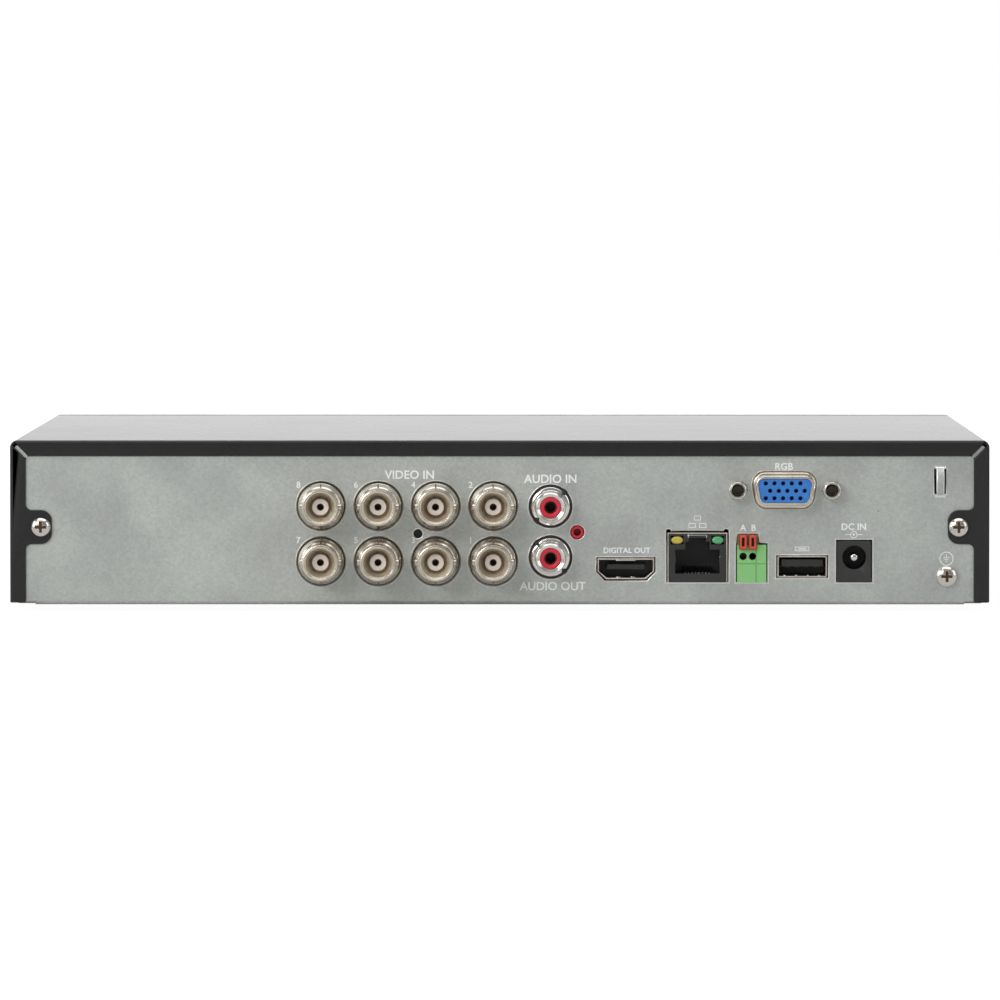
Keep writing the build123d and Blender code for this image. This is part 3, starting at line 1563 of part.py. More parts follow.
def drive_leads():
    plug_x = drive_x1 + plug_depth
    data_x, power_x = header_xs["drive_data"], header_xs["drive_power"]
    data = lead([
        (plug_x, data_plug_y, plug_z),
        (plug_x + 13, data_plug_y, plug_z),
        (plug_x + 26, data_plug_y + 11, plug_z + 4),
        (plug_x + 29, data_plug_y + 32, plug_z + 11),
        (plug_x + 22, data_plug_y + 57, plug_z + 17),
        (data_x + 12, header_y - 36, header_top + 13),
        (data_x + 3, header_y - 14, header_top + 16),
        (data_x, header_y, header_top + 11),
        (data_x, header_y, header_top),
    ], lead_radius)
    power = lead([
        (plug_x, power_plug_y, plug_z),
        (plug_x + 10, power_plug_y, plug_z),
        (plug_x + 17, power_plug_y + 9, plug_z + 4),
        (plug_x + 13, power_plug_y + 27, plug_z + 10),
        (power_x + 11, header_y - 37, header_top + 9),
        (power_x + 3, header_y - 15, header_top + 14),
        (power_x, header_y, header_top + 10),
        (power_x, header_y, header_top),
    ], power_lead_radius)
    return data, power


def board_leads():
    fan_header_x, front_header_x = header_xs["fan"], header_xs["front_board"]
    fan_lead_y, fan_lead_z = fan_y + fan_hole + 1.6, fan_z + fan_hole - 5.5
    fan_lead = lead([
        (fan_x0, fan_lead_y, fan_lead_z),
        (fan_x0 - 7, fan_lead_y, fan_lead_z),
        (fan_x0 - 15, fan_lead_y + 10, fan_lead_z - 4),
        (fan_x0 - 20, fan_lead_y + 32, fan_lead_z - 10),
        (fan_header_x + 24, header_y - 40, header_top + 4),
        (fan_header_x + 11, header_y - 18, header_top + 7),
        (fan_header_x + 1, header_y - 4, header_top + 10),
        (fan_header_x, header_y, header_top + 6),
        (fan_header_x, header_y, header_top),
    ], small_lead_radius)
    front_x, front_lead_y = front_board_x1 - 27, front_board_y1 - 5
    front_lead = lead([
        (front_x, front_lead_y, front_board_top),
        (front_x, front_lead_y, front_board_top + 7),
        (front_x, front_lead_y + 9, front_board_top + 13),
        (front_x + 4, front_lead_y + 27, front_board_top + 15),
        (front_x + 2, front_lead_y + 55, front_board_top + 14),
        (front_header_x + 21, header_y - 40, header_top + 13),
        (front_header_x + 6, header_y - 16, header_top + 16),
        (front_header_x, header_y, header_top + 11),
        (front_header_x, header_y, header_top),
    ], small_lead_radius)
    return fan_lead, front_lead


# ---------------------------------------------------------------- fan
def on_fan(shape):
    """Places a piece drawn about Z, its air side at z = 0, on the fan's axis."""
    return Pos(fan_x0, fan_y, fan_z) * Rot(0, 90, 0) * shape


def fan_frame():
    half = fan_size / 2
    frame = block(-half, half, -half, half, 0, fan_depth)
    frame = fillet(edges_along(frame, Axis.Z), fan_corner)
    frame -= rod_z(0, 0, 0, fan_depth, fan_duct)
    corners = [(x, y) for x in (-fan_hole, fan_hole) for y in (-fan_hole, fan_hole)]
    frame -= [rod_z(x, y, 0, fan_depth, screw_radius + pass_slack) for x, y in corners]
    plate = rod_z(0, 0, fan_depth - fan_plate, fan_depth, fan_hub)
    strut = block(0, fan_duct + 0.5, -1.2, 1.2, fan_depth - fan_plate, fan_depth)
    frame += plate
    frame += [Rot(0, 0, angle) * strut for angle in (20, 140, 260)]
    frame += rod_z(0, 0, 2.0, fan_depth, fan_shaft)
    return on_fan(frame)


def fan_rotor():
    hub = rod_z(0, 0, 0.6, fan_depth - fan_plate - 0.6, fan_hub)
    hub = fillet(hub.edges().group_by(Axis.Z)[0], 0.8)
    hub -= rod_z(0, 0, 1.8, fan_depth, fan_shaft + running_gap)
    tip = fan_duct - fan_tip_gap
    blade_height = fan_depth - fan_plate - 2.2
    blade = Pos((fan_hub + tip) / 2 - 0.5, 0, 1.0 + blade_height / 2) * Rot(fan_blade_twist, 0, 0) * Box(
        tip - fan_hub + 1.0, fan_blade_thickness, blade_height / cos(radians(fan_blade_twist)) - 0.8
    )
    blade &= rod_z(0, 0, 0.8, 0.8 + blade_height + 0.4, tip)
    hub += [Rot(0, 0, 360.0 / fan_blades * index) * blade for index in range(fan_blades)]
    return on_fan(hub)


def fan_screws():
    one = Rot(0, 0, 90) * screw(fan_depth + sheet, screw_radius, head_radius)
    return [
        Pos(fan_x0, fan_y + y, fan_z + z) * one
        for y in (-fan_hole, fan_hole)
        for z in (-fan_hole, fan_hole)
    ]


def status_lamps():
    """Upright lamps on the front board, bent forward to the window."""
    pieces = []
    for x in lamp_places:
        stem = block(
            x - lamp_radius, x + lamp_radius, front_board_y0 + 0.6, front_board_y0 + 3.6, front_board_top,
            window_z + lamp_radius,
        )
        dome = rod_y(x, front_board_y0 - 0.6, front_board_y0 + 2.0, window_z, lamp_radius)
        pieces.append(stem + dome)
    return pieces


def main():
    os.makedirs("parts", exist_ok=True)
    save("base_tray", base_tray())
    save("top_cover", top_cover())
    save("front_bezel", front_bezel())
    save("front_window", front_window())
    save("status_lamps", *status_lamps())
    cover_screw = screw(cover_screw_length, screw_radius, head_radius)
    save("cover_screws", *[Pos(x, rear_y, z) * cover_screw for x, z in tab_screw_places])
    earth_x, earth_z = earth_screw_across - case_half, floor_z + earth_screw_rise
    save(
        "earth_screw",
        Pos(earth_x, panel_y, earth_z) * screw(earth_screw_length, screw_radius, earth_head_radius),
    )
    save("rubber_feet", *rubber_feet())
    save("board_standoffs", *standoffs())
    save("board_screws", *board_screws())
    save("main_board", main_board())
    save("front_board", front_board())
    save("board_chips", *board_chips())
    save("heatsink", heatsink())
    save("capacitors", *capacitor_cans())
    save("coin_cell", coin_cell())
    save("coin_cell_holder", coin_cell_holder())
    save("board_headers", *board_headers())
    save("coax_shells", *[coax_shell(x, z) for x, z in coax_places])
    save("coax_insulators", *[coax_insulator(x, z) for x, z in coax_places])
    save("coax_contacts", *[coax_contact_piece(x, z) for x, z in coax_places])
    save("coax_housing", coax_housing())
    save("phono_shells", *[phono_shell(index) for index in range(len(phono_places))])
    save("phono_cores", *[phono_core_piece(z) for z in phono_places])
    save("phono_contacts", *[phono_contact_piece(z) for z in phono_places])
    save("phono_housing", phono_housing())
    save("digital_video_shell", digital_shell())
    save("digital_video_tongue", digital_tongue())
    save("network_shield", network_shield())
    save("network_housing", network_housing())
    save("network_contacts", *network_contacts())
    save("network_lamp_yellow", network_lens_box(1, 0))
    save("network_lamp_green", network_lens_box(-1, 0))
    save("terminal_block", terminal_block())
    save("terminal_lever_a", terminal_lever(pole_places[0]))
    save("terminal_lever_b", terminal_lever(pole_places[1]))
    save("terminal_clamps", *terminal_clamps())
    shells, tongues, contacts = data_ports()
    save("data_port_shells", *shells)
    save("data_port_tongues", *tongues)
    save("data_port_contacts", *contacts)
    save("analog_video_shell", video_shell())
    save("analog_video_insert", video_insert())
    save("analog_video_housing", video_housing())
    save("jackscrews", *jackscrews())
    save("power_jack", power_jack())
    save("power_jack_pin", power_pin())
    save("drive_casting", drive_casting())
    save("drive_lid", drive_lid())
    save("drive_board", drive_board())
    save("drive_platters", *drive_platters())
    save("drive_hub", drive_hub())
    save("drive_actuator", drive_actuator())
    save("drive_magnets", drive_magnets())
    save("drive_screws", *drive_screws())
    save("drive_plugs", *drive_plugs())
    save("drive_leads", *drive_leads())
    save("board_leads", *board_leads())
    save("fan_frame", fan_frame())
    save("fan_rotor", fan_rotor())
    save("fan_screws", *fan_screws())


main()
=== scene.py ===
# %% [markdown]
# # A small video recorder, seen from its connector side
# The recorder is a folded steel box. A galvanised base carries the boards, a drive, a fan and a row of
# sockets, and a black powder-coated cover slides over it. The CAD model already has every piece at its
# true size, so this file only gives the pieces their finish, and rebuilds those whose small rounded
# edges make them look real. Everything is in metres and in the frame of the CAD model.

# %% Load the CAD frame
import json
import math

import bmesh
import bpy
from mathutils import Matrix, Vector

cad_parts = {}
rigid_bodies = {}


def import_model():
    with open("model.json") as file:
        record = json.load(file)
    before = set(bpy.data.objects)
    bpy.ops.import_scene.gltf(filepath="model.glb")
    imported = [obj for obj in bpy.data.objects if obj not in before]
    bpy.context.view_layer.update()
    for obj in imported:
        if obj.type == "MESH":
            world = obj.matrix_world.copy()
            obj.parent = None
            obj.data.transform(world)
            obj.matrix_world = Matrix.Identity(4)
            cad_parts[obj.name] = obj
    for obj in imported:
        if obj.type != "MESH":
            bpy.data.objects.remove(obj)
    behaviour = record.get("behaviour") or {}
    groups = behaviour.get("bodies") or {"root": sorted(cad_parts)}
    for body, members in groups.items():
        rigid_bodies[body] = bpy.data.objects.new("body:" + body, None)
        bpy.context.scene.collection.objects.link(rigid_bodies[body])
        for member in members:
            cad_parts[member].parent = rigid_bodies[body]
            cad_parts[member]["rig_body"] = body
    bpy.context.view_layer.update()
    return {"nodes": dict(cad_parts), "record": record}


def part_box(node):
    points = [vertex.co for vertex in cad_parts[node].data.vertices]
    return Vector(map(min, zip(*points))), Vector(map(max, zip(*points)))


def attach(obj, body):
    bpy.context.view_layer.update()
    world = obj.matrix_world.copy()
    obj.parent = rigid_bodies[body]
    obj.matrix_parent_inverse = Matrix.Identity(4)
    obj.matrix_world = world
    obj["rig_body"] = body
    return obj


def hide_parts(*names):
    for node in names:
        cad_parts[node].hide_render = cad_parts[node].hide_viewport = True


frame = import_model()
MM = 0.001
nodes = frame["nodes"]

# %% [markdown]
# ## Places taken from the frame
# A node that holds several equal pieces, such as eight sockets, is one mesh. To place new work on each
# of them we weld the mesh, walk over its connected parts, and note the box of every part. That is safer
# than typing coordinates, because the pieces stay on the CAD model if a size changes.

# %% Read the separate solids of a node
WELD = 0.002 * MM


def welded(node):
    """A bmesh of a CAD node whose loose triangles are joined."""
    bm = bmesh.new()
    bm.from_mesh(nodes[node].data)
    bmesh.ops.remove_doubles(bm, verts=bm.verts, dist=WELD)
    return bm


def solids(node):
    """(lowest corner, highest corner) of every separate solid of a CAD node, lower ones first."""
    bm = welded(node)
    waiting, found = set(bm.verts), []
    while waiting:
        stack, part = [waiting.pop()], []
        while stack:
            vertex = stack.pop()
            part.append(vertex.co.copy())
            for edge in vertex.link_edges:
                other = edge.other_vert(vertex)
                if other in waiting:
                    waiting.remove(other)
                    stack.append(other)
        found.append((Vector(map(min, zip(*part))), Vector(map(max, zip(*part)))))
    bm.free()
    return sorted(found, key=lambda box: (round(box[0].z, 4), round(box[0].x, 4)))


def middle(box):
    return (box[0] + box[1]) / 2


def at_plane(box, y):
    """The middle of a box, moved along Y to a plane."""
    return Vector((middle(box).x, y, middle(box).z))


SHEET = 0.8 * MM  # thickness of the steel
flange_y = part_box("top_cover")[1].y
panel_y = flange_y - SHEET
coax_at = [at_plane(box, panel_y) for box in solids("coax_shells")]
phono_at = [at_plane(box, panel_y) for box in solids("phono_shells")]
print("panel at y", round(panel_y / MM, 2), "mm;", len(coax_at), "coaxial sockets")

# %% [markdown]
# ## Camera
# The view is almost level with the connector panel. A camera close by would show strong perspective, so
# this one stands two and a half metres behind the recorder, slightly above its lid, with a long lens.

# %% Place the camera
CAMERA_SHIFT = -9.5 * MM
CAMERA_DISTANCE = 2.497
CAMERA_RISE = 0.081
CAMERA_TILT, CAMERA_TURN = 2.22, 0.216  # degrees
LENS, SENSOR = 339, 36  # mm
VIEW_END = 20  # metres
cover_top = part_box("top_cover")[1]
camera_data = bpy.data.cameras.new("rear_camera")
camera_data.lens = LENS
camera_data.sensor_width = SENSOR
camera_data.clip_end = VIEW_END
camera = bpy.data.objects.new("rear_camera", camera_data)
camera.location = (CAMERA_SHIFT, cover_top.y + CAMERA_DISTANCE, cover_top.z + CAMERA_RISE)
camera.rotation_euler = (math.radians(90 - CAMERA_TILT), 0, math.radians(180 + CAMERA_TURN))
bpy.context.scene.collection.objects.link(camera)
bpy.context.scene.camera = camera
bpy.context.scene.view_settings.view_transform = "Standard"
print("camera at", [round(x, 3) for x in camera.location])

# %% [markdown]
# ## Light
# A white studio surrounds the recorder. The key light stands in front of the panel, to its left, so each
# socket throws a soft shade to its right. Weaker lights stand at both sides, one hangs overhead, and one
# takes the place of the white backdrop, which the lid reflects at a glancing angle. Point lamps would
# leave hard specks on the metal, so all are softboxes. A light's power grows with its area, so each is
# given the brightness that its surface should have.

# %% Build the lights
def softbox(name, place, aim, width, height, brightness):
    """A rectangular light at place that faces aim, hidden from the camera."""
    data = bpy.data.lights.new(name, "AREA")
    data.shape = "RECTANGLE"
    data.size, data.size_y = width, height
    data.energy = brightness * math.pi * width * height
    light = bpy.data.objects.new(name, data)
    light.location = place
    light.rotation_euler = (Vector(aim) - Vector(place)).to_track_quat("-Z", "Y").to_euler()
    light.visible_camera = False
    bpy.context.scene.collection.objects.link(light)


panel_middle = (0, panel_y, 0.02)
softbox("overhead_light", (0, 0.5, 1.6), (0, 0, 0), 1.8, 1.6, 1.5)
softbox("left_light", (1.7, 1.0, 0.7), panel_middle, 0.8, 1.2, 2.5)
softbox("right_light", (-1.7, 1.3, 0.8), panel_middle, 0.9, 1.2, 1.4)
softbox("key_light", (1.5, 2.6, 1.2), panel_middle, 1.2, 1.0, 6.5)
softbox("backdrop_light", (0, -2.4, 0.62), (0, 0, 0.02), 4.2, 1.3, 1.3)


# %% [markdown]
# ## World and floor
# The camera sees pure white all round, as on a paper sweep, but the metals would look flat if they also
# reflected pure white. The Light Path node tells a camera ray from any other, so the world and the floor
# show white to the camera and a calmer grey to the recorder. A node tree is easier to read when each
# node takes one line, so a few helpers add a node, calculate, and mix colours or shaders.

# %% Helpers for node trees
def wire(tree, kind, inputs=None, **settings):
    """Adds a node. Each input is a constant, or a socket to link from."""
    node = tree.nodes.new(kind)
    for key, value in settings.items():
        setattr(node, key, value)
    for key, value in (inputs or {}).items():
        if isinstance(value, bpy.types.NodeSocket):
            tree.links.new(value, node.inputs[key])
        else:
            node.inputs[key].default_value = value
    return node


def calculate(tree, operation, first, second):
    """The result of one operation on two numbers."""
    return wire(tree, "ShaderNodeMath", {0: first, 1: second}, operation=operation).outputs[0]


def mixed_color(tree, share, first, second):
    """A colour between two others. It is the second one where the share is 1."""
    return wire(tree, "ShaderNodeMix", {0: share, 6: first, 7: second}, data_type="RGBA").outputs[2]


def mixed_shader(tree, share, first, second):
    """A shader between two others. It is the second one where the share is 1."""
    return wire(tree, "ShaderNodeMixShader", {0: share, 1: first.outputs[0], 2: second.outputs[0]})


def object_place(tree):
    """Object coordinates, in metres."""
    return wire(tree, "ShaderNodeTexCoord").outputs["Object"]


# %% [markdown]
# ### World
# The world is a plain background in two strengths. A picture of a room would give richer reflections,
# but it would also tint the zinc, so the softboxes do that work.

# %% Make the world
WHITE = (1, 1, 1, 1)
AMBIENT = 0.24
world = bpy.data.worlds.new("white_studio")
world.use_nodes = True
tree = world.node_tree
tree.nodes.clear()
path = wire(tree, "ShaderNodeLightPath")
ambient = wire(tree, "ShaderNodeBackground", {"Color": WHITE, "Strength": AMBIENT})
seen = wire(tree, "ShaderNodeBackground", {"Color": WHITE, "Strength": 1.0})
mix = mixed_shader(tree, path.outputs["Is Camera Ray"], ambient, seen)
wire(tree, "ShaderNodeOutputWorld", {0: mix.outputs[0]})
bpy.context.scene.world = world
print("world:", world.name)

# %% [markdown]
# ### Floor
# The floor is a sheet of white paper. Mostly it glows, a little more with distance, so that it meets the
# world without a line, and it is matt enough to keep a faint shade under the case. A plain matt floor
# would turn grey far away. The Backfacing output makes it clear to a camera below it.

# %% Make the floor
FLOOR_HALF = 6.0
GLOW_SHARE = 0.85
NEAR_GLOW, FAR_GLOW = 1.14, 1.4
paper = bpy.data.materials.new("white_paper")
paper.use_nodes = True
tree = paper.node_tree
tree.nodes.clear()
path = wire(tree, "ShaderNodeLightPath")
facing = wire(tree, "ShaderNodeNewGeometry")
matt = wire(tree, "ShaderNodeBsdfDiffuse", {"Color": (0.8, 0.8, 0.8, 1)})
near = wire(tree, "ShaderNodeMapping", {"Vector": object_place(tree), "Scale": (0.8, 0.8, 0.8)}).outputs[0]
fade = wire(tree, "ShaderNodeTexGradient", {"Vector": near}, gradient_type="SPHERICAL").outputs["Fac"]
level = wire(tree, "ShaderNodeMapRange", {
    "Value": fade, "From Max": 0.6, "To Min": FAR_GLOW, "To Max": NEAR_GLOW,
}).outputs[0]
glow = wire(tree, "ShaderNodeEmission", {"Color": WHITE, "Strength": level})
lit = mixed_shader(tree, GLOW_SHARE, matt, glow)
calm = wire(tree, "ShaderNodeBsdfDiffuse", {"Color": (0.75, 0.75, 0.75, 1)})
shown = mixed_shader(tree, path.outputs["Is Camera Ray"], calm, lit)
clear = wire(tree, "ShaderNodeBsdfTransparent")
face = mixed_shader(tree, facing.outputs["Backfacing"], shown, clear)
wire(tree, "ShaderNodeOutputMaterial", {0: face.outputs[0]})

bm = bmesh.new()
bmesh.ops.create_grid(bm, x_segments=1, y_segments=1, size=FLOOR_HALF)
floor_mesh = bpy.data.meshes.new("floor")
bm.to_mesh(floor_mesh)
bm.free()
floor_mesh.materials.append(paper)
floor = bpy.data.objects.new("floor", floor_mesh)
bpy.context.scene.collection.objects.link(floor)

# %% [markdown]
# ## Shader node groups
# Every finish on the recorder has some fine unevenness. Four effects are shared by many materials, so
# each is a node group: a change to the group then reaches every material that uses it. They read object
# coordinates, which are in metres, so a pattern has the same size on every piece and stays on it when it
# moves.

# %% A helper for node groups
FLOAT, COLOR, VECTOR = "NodeSocketFloat", "NodeSocketColor", "NodeSocketVector"


def group(name, takes, gives):
    """An empty node group with named inputs, each a (name, kind, default), and named outputs."""
    made = bpy.data.node_groups.new(name, "ShaderNodeTree")
    for label, kind, default in takes:
        made.interface.new_socket(label, in_out="INPUT", socket_type=kind).default_value = default
    for label, kind in gives:
        made.interface.new_socket(label, in_out="OUTPUT", socket_type=kind)
    return made, made.nodes.new("NodeGroupInput").outputs, made.nodes.new("NodeGroupOutput").inputs


# %% [markdown]
# ### Mottle
# Two colours and two roughnesses drift over the surface, as on any plating or moulding. A fine noise
# gives the colour its grain, and a slow one gives it clouds. A single noise with more detail could do
# both, but then their sizes couldn't differ so much.

# %% Build the mottle
mottle, taken, given = group(
    "mottle",
    [("Dark", COLOR, (0.4, 0.4, 0.4, 1)), ("Light", COLOR, (0.6, 0.6, 0.6, 1)), ("Size", FLOAT, 1 * MM),
     ("Low Roughness", FLOAT, 0.4), ("High Roughness", FLOAT, 0.5)],
    [("Color", COLOR), ("Roughness", FLOAT)],
)
CLOUDS = 0.06  # the slow noise's rate, as a share of the fine one's
place = object_place(mottle)
rate = calculate(mottle, "DIVIDE", 1.0, taken["Size"])
fine = wire(mottle, "ShaderNodeTexNoise", {"Vector": place, "Scale": rate, "Detail": 4.0, "Roughness": 0.65})
slow_rate = calculate(mottle, "MULTIPLY", rate, CLOUDS)
slow = wire(mottle, "ShaderNodeTexNoise", {"Vector": place, "Scale": slow_rate, "Detail": 2.0})
total = calculate(mottle, "ADD", fine.outputs[0], slow.outputs[0])
share = wire(mottle, "ShaderNodeMapRange", {"Value": total, "From Min": 0.7, "From Max": 1.3}).outputs[0]
rough = wire(mottle, "ShaderNodeMapRange", {
    "Value": slow.outputs[0], "From Min": 0.35, "From Max": 0.65,
    "To Min": taken["Low Roughness"], "To Max": taken["High Roughness"],
})
mottle.links.new(mixed_color(mottle, share, taken["Dark"], taken["Light"]), given["Color"])
mottle.links.new(rough.outputs[0], given["Roughness"])
print("mottle:", len(mottle.nodes), "nodes")

# %% [markdown]
# ### Grain
# Powder coat is pebbled and a moulding has a fine skin. Both are a bump, which changes only how light
# falls and needs no extra mesh. Rounded Voronoi cells make the pebbles and a noise makes the skin.

# %% Build the grain
grain, taken, given = group(
    "grain",
    [("Size", FLOAT, 0.5 * MM), ("Height", FLOAT, 0.02 * MM), ("Pebbles", FLOAT, 0.5)],
    [("Normal", VECTOR)],
)
place = object_place(grain)
rate = calculate(grain, "DIVIDE", 1.0, taken["Size"])
noise = wire(grain, "ShaderNodeTexNoise", {"Vector": place, "Scale": rate, "Detail": 3.0})
pebbles = wire(grain, "ShaderNodeTexVoronoi", {"Vector": place, "Scale": rate}, feature="SMOOTH_F1")
level = wire(grain, "ShaderNodeMix", {0: taken["Pebbles"], 2: noise.outputs[0], 3: pebbles.outputs[0]})
bump = wire(grain, "ShaderNodeBump", {"Height": level.outputs[0], "Distance": taken["Height"]})
grain.links.new(bump.outputs[0], given["Normal"])
print("grain:", len(grain.nodes), "nodes")

# %% [markdown]
# ### Specks
# Pinholes and dust are small sparse dots of another colour. Each Voronoi cell has one point, and only
# what lies close to it becomes a speck, so the spacing and the size are set apart from each other.

# %% Build the specks
specks, taken, given = group(
    "specks",
    [("Color", COLOR, (0.5, 0.5, 0.5, 1)), ("Speck Color", COLOR, (0.1, 0.1, 0.1, 1)),
     ("Spacing", FLOAT, 6 * MM), ("Size", FLOAT, 0.06)],
    [("Color", COLOR)],
)
rate = calculate(specks, "DIVIDE", 1.0, taken["Spacing"])
cells = wire(specks, "ShaderNodeTexVoronoi", {"Vector": object_place(specks), "Scale": rate})
mask = calculate(specks, "LESS_THAN", cells.outputs["Distance"], taken["Size"])
specks.links.new(mixed_color(specks, mask, taken["Color"], taken["Speck Color"]), given["Color"])
print("specks:", len(specks.nodes), "nodes")

# %% [markdown]
# ### Brushing
# Rolled metal keeps long fine streaks. A noise that is stretched along one axis and squeezed along the
# others draws them in the roughness, which catches the light as a real streak does.

# %% Build the brushing
brushing, taken, given = group(
    "brushing",
    [("Stretch", VECTOR, (40.0, 2000.0, 2000.0)), ("Low Roughness", FLOAT, 0.25),
     ("High Roughness", FLOAT, 0.45)],
    [("Roughness", FLOAT)],
)
drawn = wire(brushing, "ShaderNodeMapping", {"Vector": object_place(brushing), "Scale": taken["Stretch"]})
streak = wire(brushing, "ShaderNodeTexNoise", {"Vector": drawn.outputs[0], "Scale": 1.0, "Detail": 3.0})
rough = wire(brushing, "ShaderNodeMapRange", {
    "Value": streak.outputs[0], "From Min": 0.3, "From Max": 0.7,
    "To Min": taken["Low Roughness"], "To Max": taken["High Roughness"],
})
brushing.links.new(rough.outputs[0], given["Roughness"])
print("node groups:", [g.name for g in bpy.data.node_groups])

# %% [markdown]
# ## Finishes
# One helper starts every finish: a Principled shader whose colour and roughness come from the mottle
# group, so that no surface is a single flat colour, with an optional grain on its normal. The shades on
# either side of a colour are a few percent apart on plastic and more on zinc or raw castings.

# %% A helper for finishes
materials = {}


def shade(color, factor):
    return (*[min(1.0, channel * factor) for channel in color], 1.0)


ROUGHNESS_SPREAD = 0.1


def finish(slot, color, roughness, metallic=0.0, vary=0.06, size=1 * MM, grain_size=0.0, grain_height=0.0,
           pebbles=0.3, **shader_values):
    """A named material for a slot of the record. Returns its tree, its shader and the mottle node."""
    material = bpy.data.materials.new(slot)
    material.use_nodes = True
    tree = material.node_tree
    tree.nodes.clear()
    shader = wire(tree, "ShaderNodeBsdfPrincipled", {"Metallic": metallic, **shader_values})
    wire(tree, "ShaderNodeOutputMaterial", {0: shader.outputs[0]})
    base = wire(tree, "ShaderNodeGroup", {
        "Dark": shade(color, 1 - vary), "Light": shade(color, 1 + vary), "Size": size,
        "Low Roughness": roughness * (1 - ROUGHNESS_SPREAD),
        "High Roughness": roughness * (1 + ROUGHNESS_SPREAD),
    }, node_tree=mottle)
    tree.links.new(base.outputs["Color"], shader.inputs["Base Color"])
    tree.links.new(base.outputs["Roughness"], shader.inputs["Roughness"])
    if grain_height:
        skin = wire(tree, "ShaderNodeGroup", {
            "Size": grain_size, "Height": grain_height, "Pebbles": pebbles,
        }, node_tree=grain)
        tree.links.new(skin.outputs["Normal"], shader.inputs["Normal"])
    materials[slot] = material
    return tree, shader, base


def speckle(tree, shader, source, color, spacing, size):
    """Puts specks between a colour output and the shader."""
    dots = wire(tree, "ShaderNodeGroup", {
        "Color": source, "Speck Color": (*color, 1.0), "Spacing": spacing, "Size": size,
    }, node_tree=specks)
    tree.links.new(dots.outputs["Color"], shader.inputs["Base Color"])


# %% [markdown]
# ### Sheet steel
# Hot-dipped zinc freezes in small crystals, each with its own shade, and it keeps a few dark pinholes.
# A Voronoi texture gives one random value to each crystal, and the mottle softens it. Where the sheet is
# sheared, bare metal shows, and the cut edges have a brighter finish of their own, partly a painted
# highlight.

# %% Galvanised sheet and its cut edges
CRYSTAL = 0.6 * MM
tree, shader, base = finish("galvanised_steel", (0.57, 0.595, 0.565), 0.5, metallic=1.0, vary=0.07,
                            size=0.9 * MM, grain_size=0.4 * MM, grain_height=0.006 * MM)
crystals = wire(tree, "ShaderNodeTexVoronoi", {"Vector": object_place(tree), "Scale": 1 / CRYSTAL})
value = wire(tree, "ShaderNodeSeparateColor", {0: crystals.outputs["Color"]}).outputs[0]
level = wire(tree, "ShaderNodeMapRange", {"Value": value, "To Min": 0.93, "To Max": 1.06}).outputs[0]
tint = wire(tree, "ShaderNodeVectorMath", {0: base.outputs["Color"], "Scale": level}, operation="SCALE")
speckle(tree, shader, tint.outputs[0], (0.16, 0.16, 0.15), 9 * MM, 0.02)
finish("bare_edge_and_highlight", (0.9, 0.9, 0.88), 0.35, metallic=1.0, vary=0.05)
print("sheet steel:", list(materials))

# %% [markdown]
# ### Powder coat
# The cover is powder coated. The powder melts into a skin of small pebbles with a satin shine, and a
# little pale dust sits in it. At a glancing angle the skin mirrors the white room, as on any paint, so
# the lid looks pale from the side while its rear flange stays black. Its gloss is more even than that of
# the other finishes, so the two roughnesses are brought closer together.

# %% Powder coat
tree, shader, base = finish("black_powder_coat", (0.013, 0.0135, 0.0125), 0.3, vary=0.2, size=2 * MM,
                            grain_size=0.55 * MM, grain_height=0.012 * MM, pebbles=0.7)
base.inputs["High Roughness"].default_value = 0.28
speckle(tree, shader, base.outputs["Color"], (0.2, 0.2, 0.19), 11 * MM, 0.014)
print("cover:", materials["black_powder_coat"].name)

# %% [markdown]
# ### Plastics, rubber and glass
# The mouldings are satin black with a very fine spark-eroded texture. The bezel's window and lamps let
# some light through. The socket bodies follow the colour codes that such sockets have. They differ only
# in a few numbers, so they are rows of two tables: first the matt ones, then those that let light through.

# %% Plastics
for slot, color, roughness, vary, grain_size, grain_height in (
    ("bezel_plastic", (0.018, 0.018, 0.019), 0.38, 0.1, 0.25, 0.006),
    ("black_rubber", (0.02, 0.02, 0.02), 0.75, 0.15, 0.3, 0.01),
    ("black_moulding", (0.028, 0.029, 0.027), 0.4, 0.1, 0.2, 0.004),
    ("chip_black", (0.02, 0.02, 0.021), 0.5, 0.12, 0.15, 0.006),
    ("header_white", (0.72, 0.7, 0.64), 0.42, 0.04, 0.2, 0.003),
    ("insulator", (0.84, 0.76, 0.7), 0.42, 0.05, 0.2, 0.003),
    ("phono_red", (0.62, 0.025, 0.045), 0.34, 0.08, 0.2, 0.002),
    ("socket_blue", (0.035, 0.2, 0.6), 0.4, 0.06, 0.25, 0.004),
    ("terminal_green", (0.25, 0.58, 0.21), 0.45, 0.05, 0.25, 0.004),
    ("lever_red", (0.68, 0.075, 0.045), 0.38, 0.07, 0.25, 0.003),
):
    finish(slot, color, roughness, vary=vary, grain_size=grain_size * MM, grain_height=grain_height * MM)
for slot, color, roughness, vary, clearness, coat in (
    ("smoked_plastic", (0.03, 0.028, 0.03), 0.07, 0.05, 0.35, 0.0),
    ("lamp_resin", (0.72, 0.76, 0.78), 0.2, 0.04, 0.4, 0.0),
    ("lens_yellow", (0.72, 0.6, 0.08), 0.12, 0.08, 0.25, 1.0),
    ("lens_green", (0.12, 0.55, 0.2), 0.12, 0.08, 0.25, 1.0),
):
    finish(slot, color, roughness, vary=vary, **{"Transmission Weight": clearness, "Coat Weight": coat})
finish("label_ink", (0.95, 0.96, 0.95), 0.6, vary=0.05, size=0.6 * MM)
print("finishes so far:", len(materials))

# %% [markdown]
# ### Bright metals
# Die-cast nickel is slightly warm and not quite smooth. Turned screws are brighter, brass contacts are
# yellow, and rolled or machined parts carry fine brushing, which changes only their roughness.

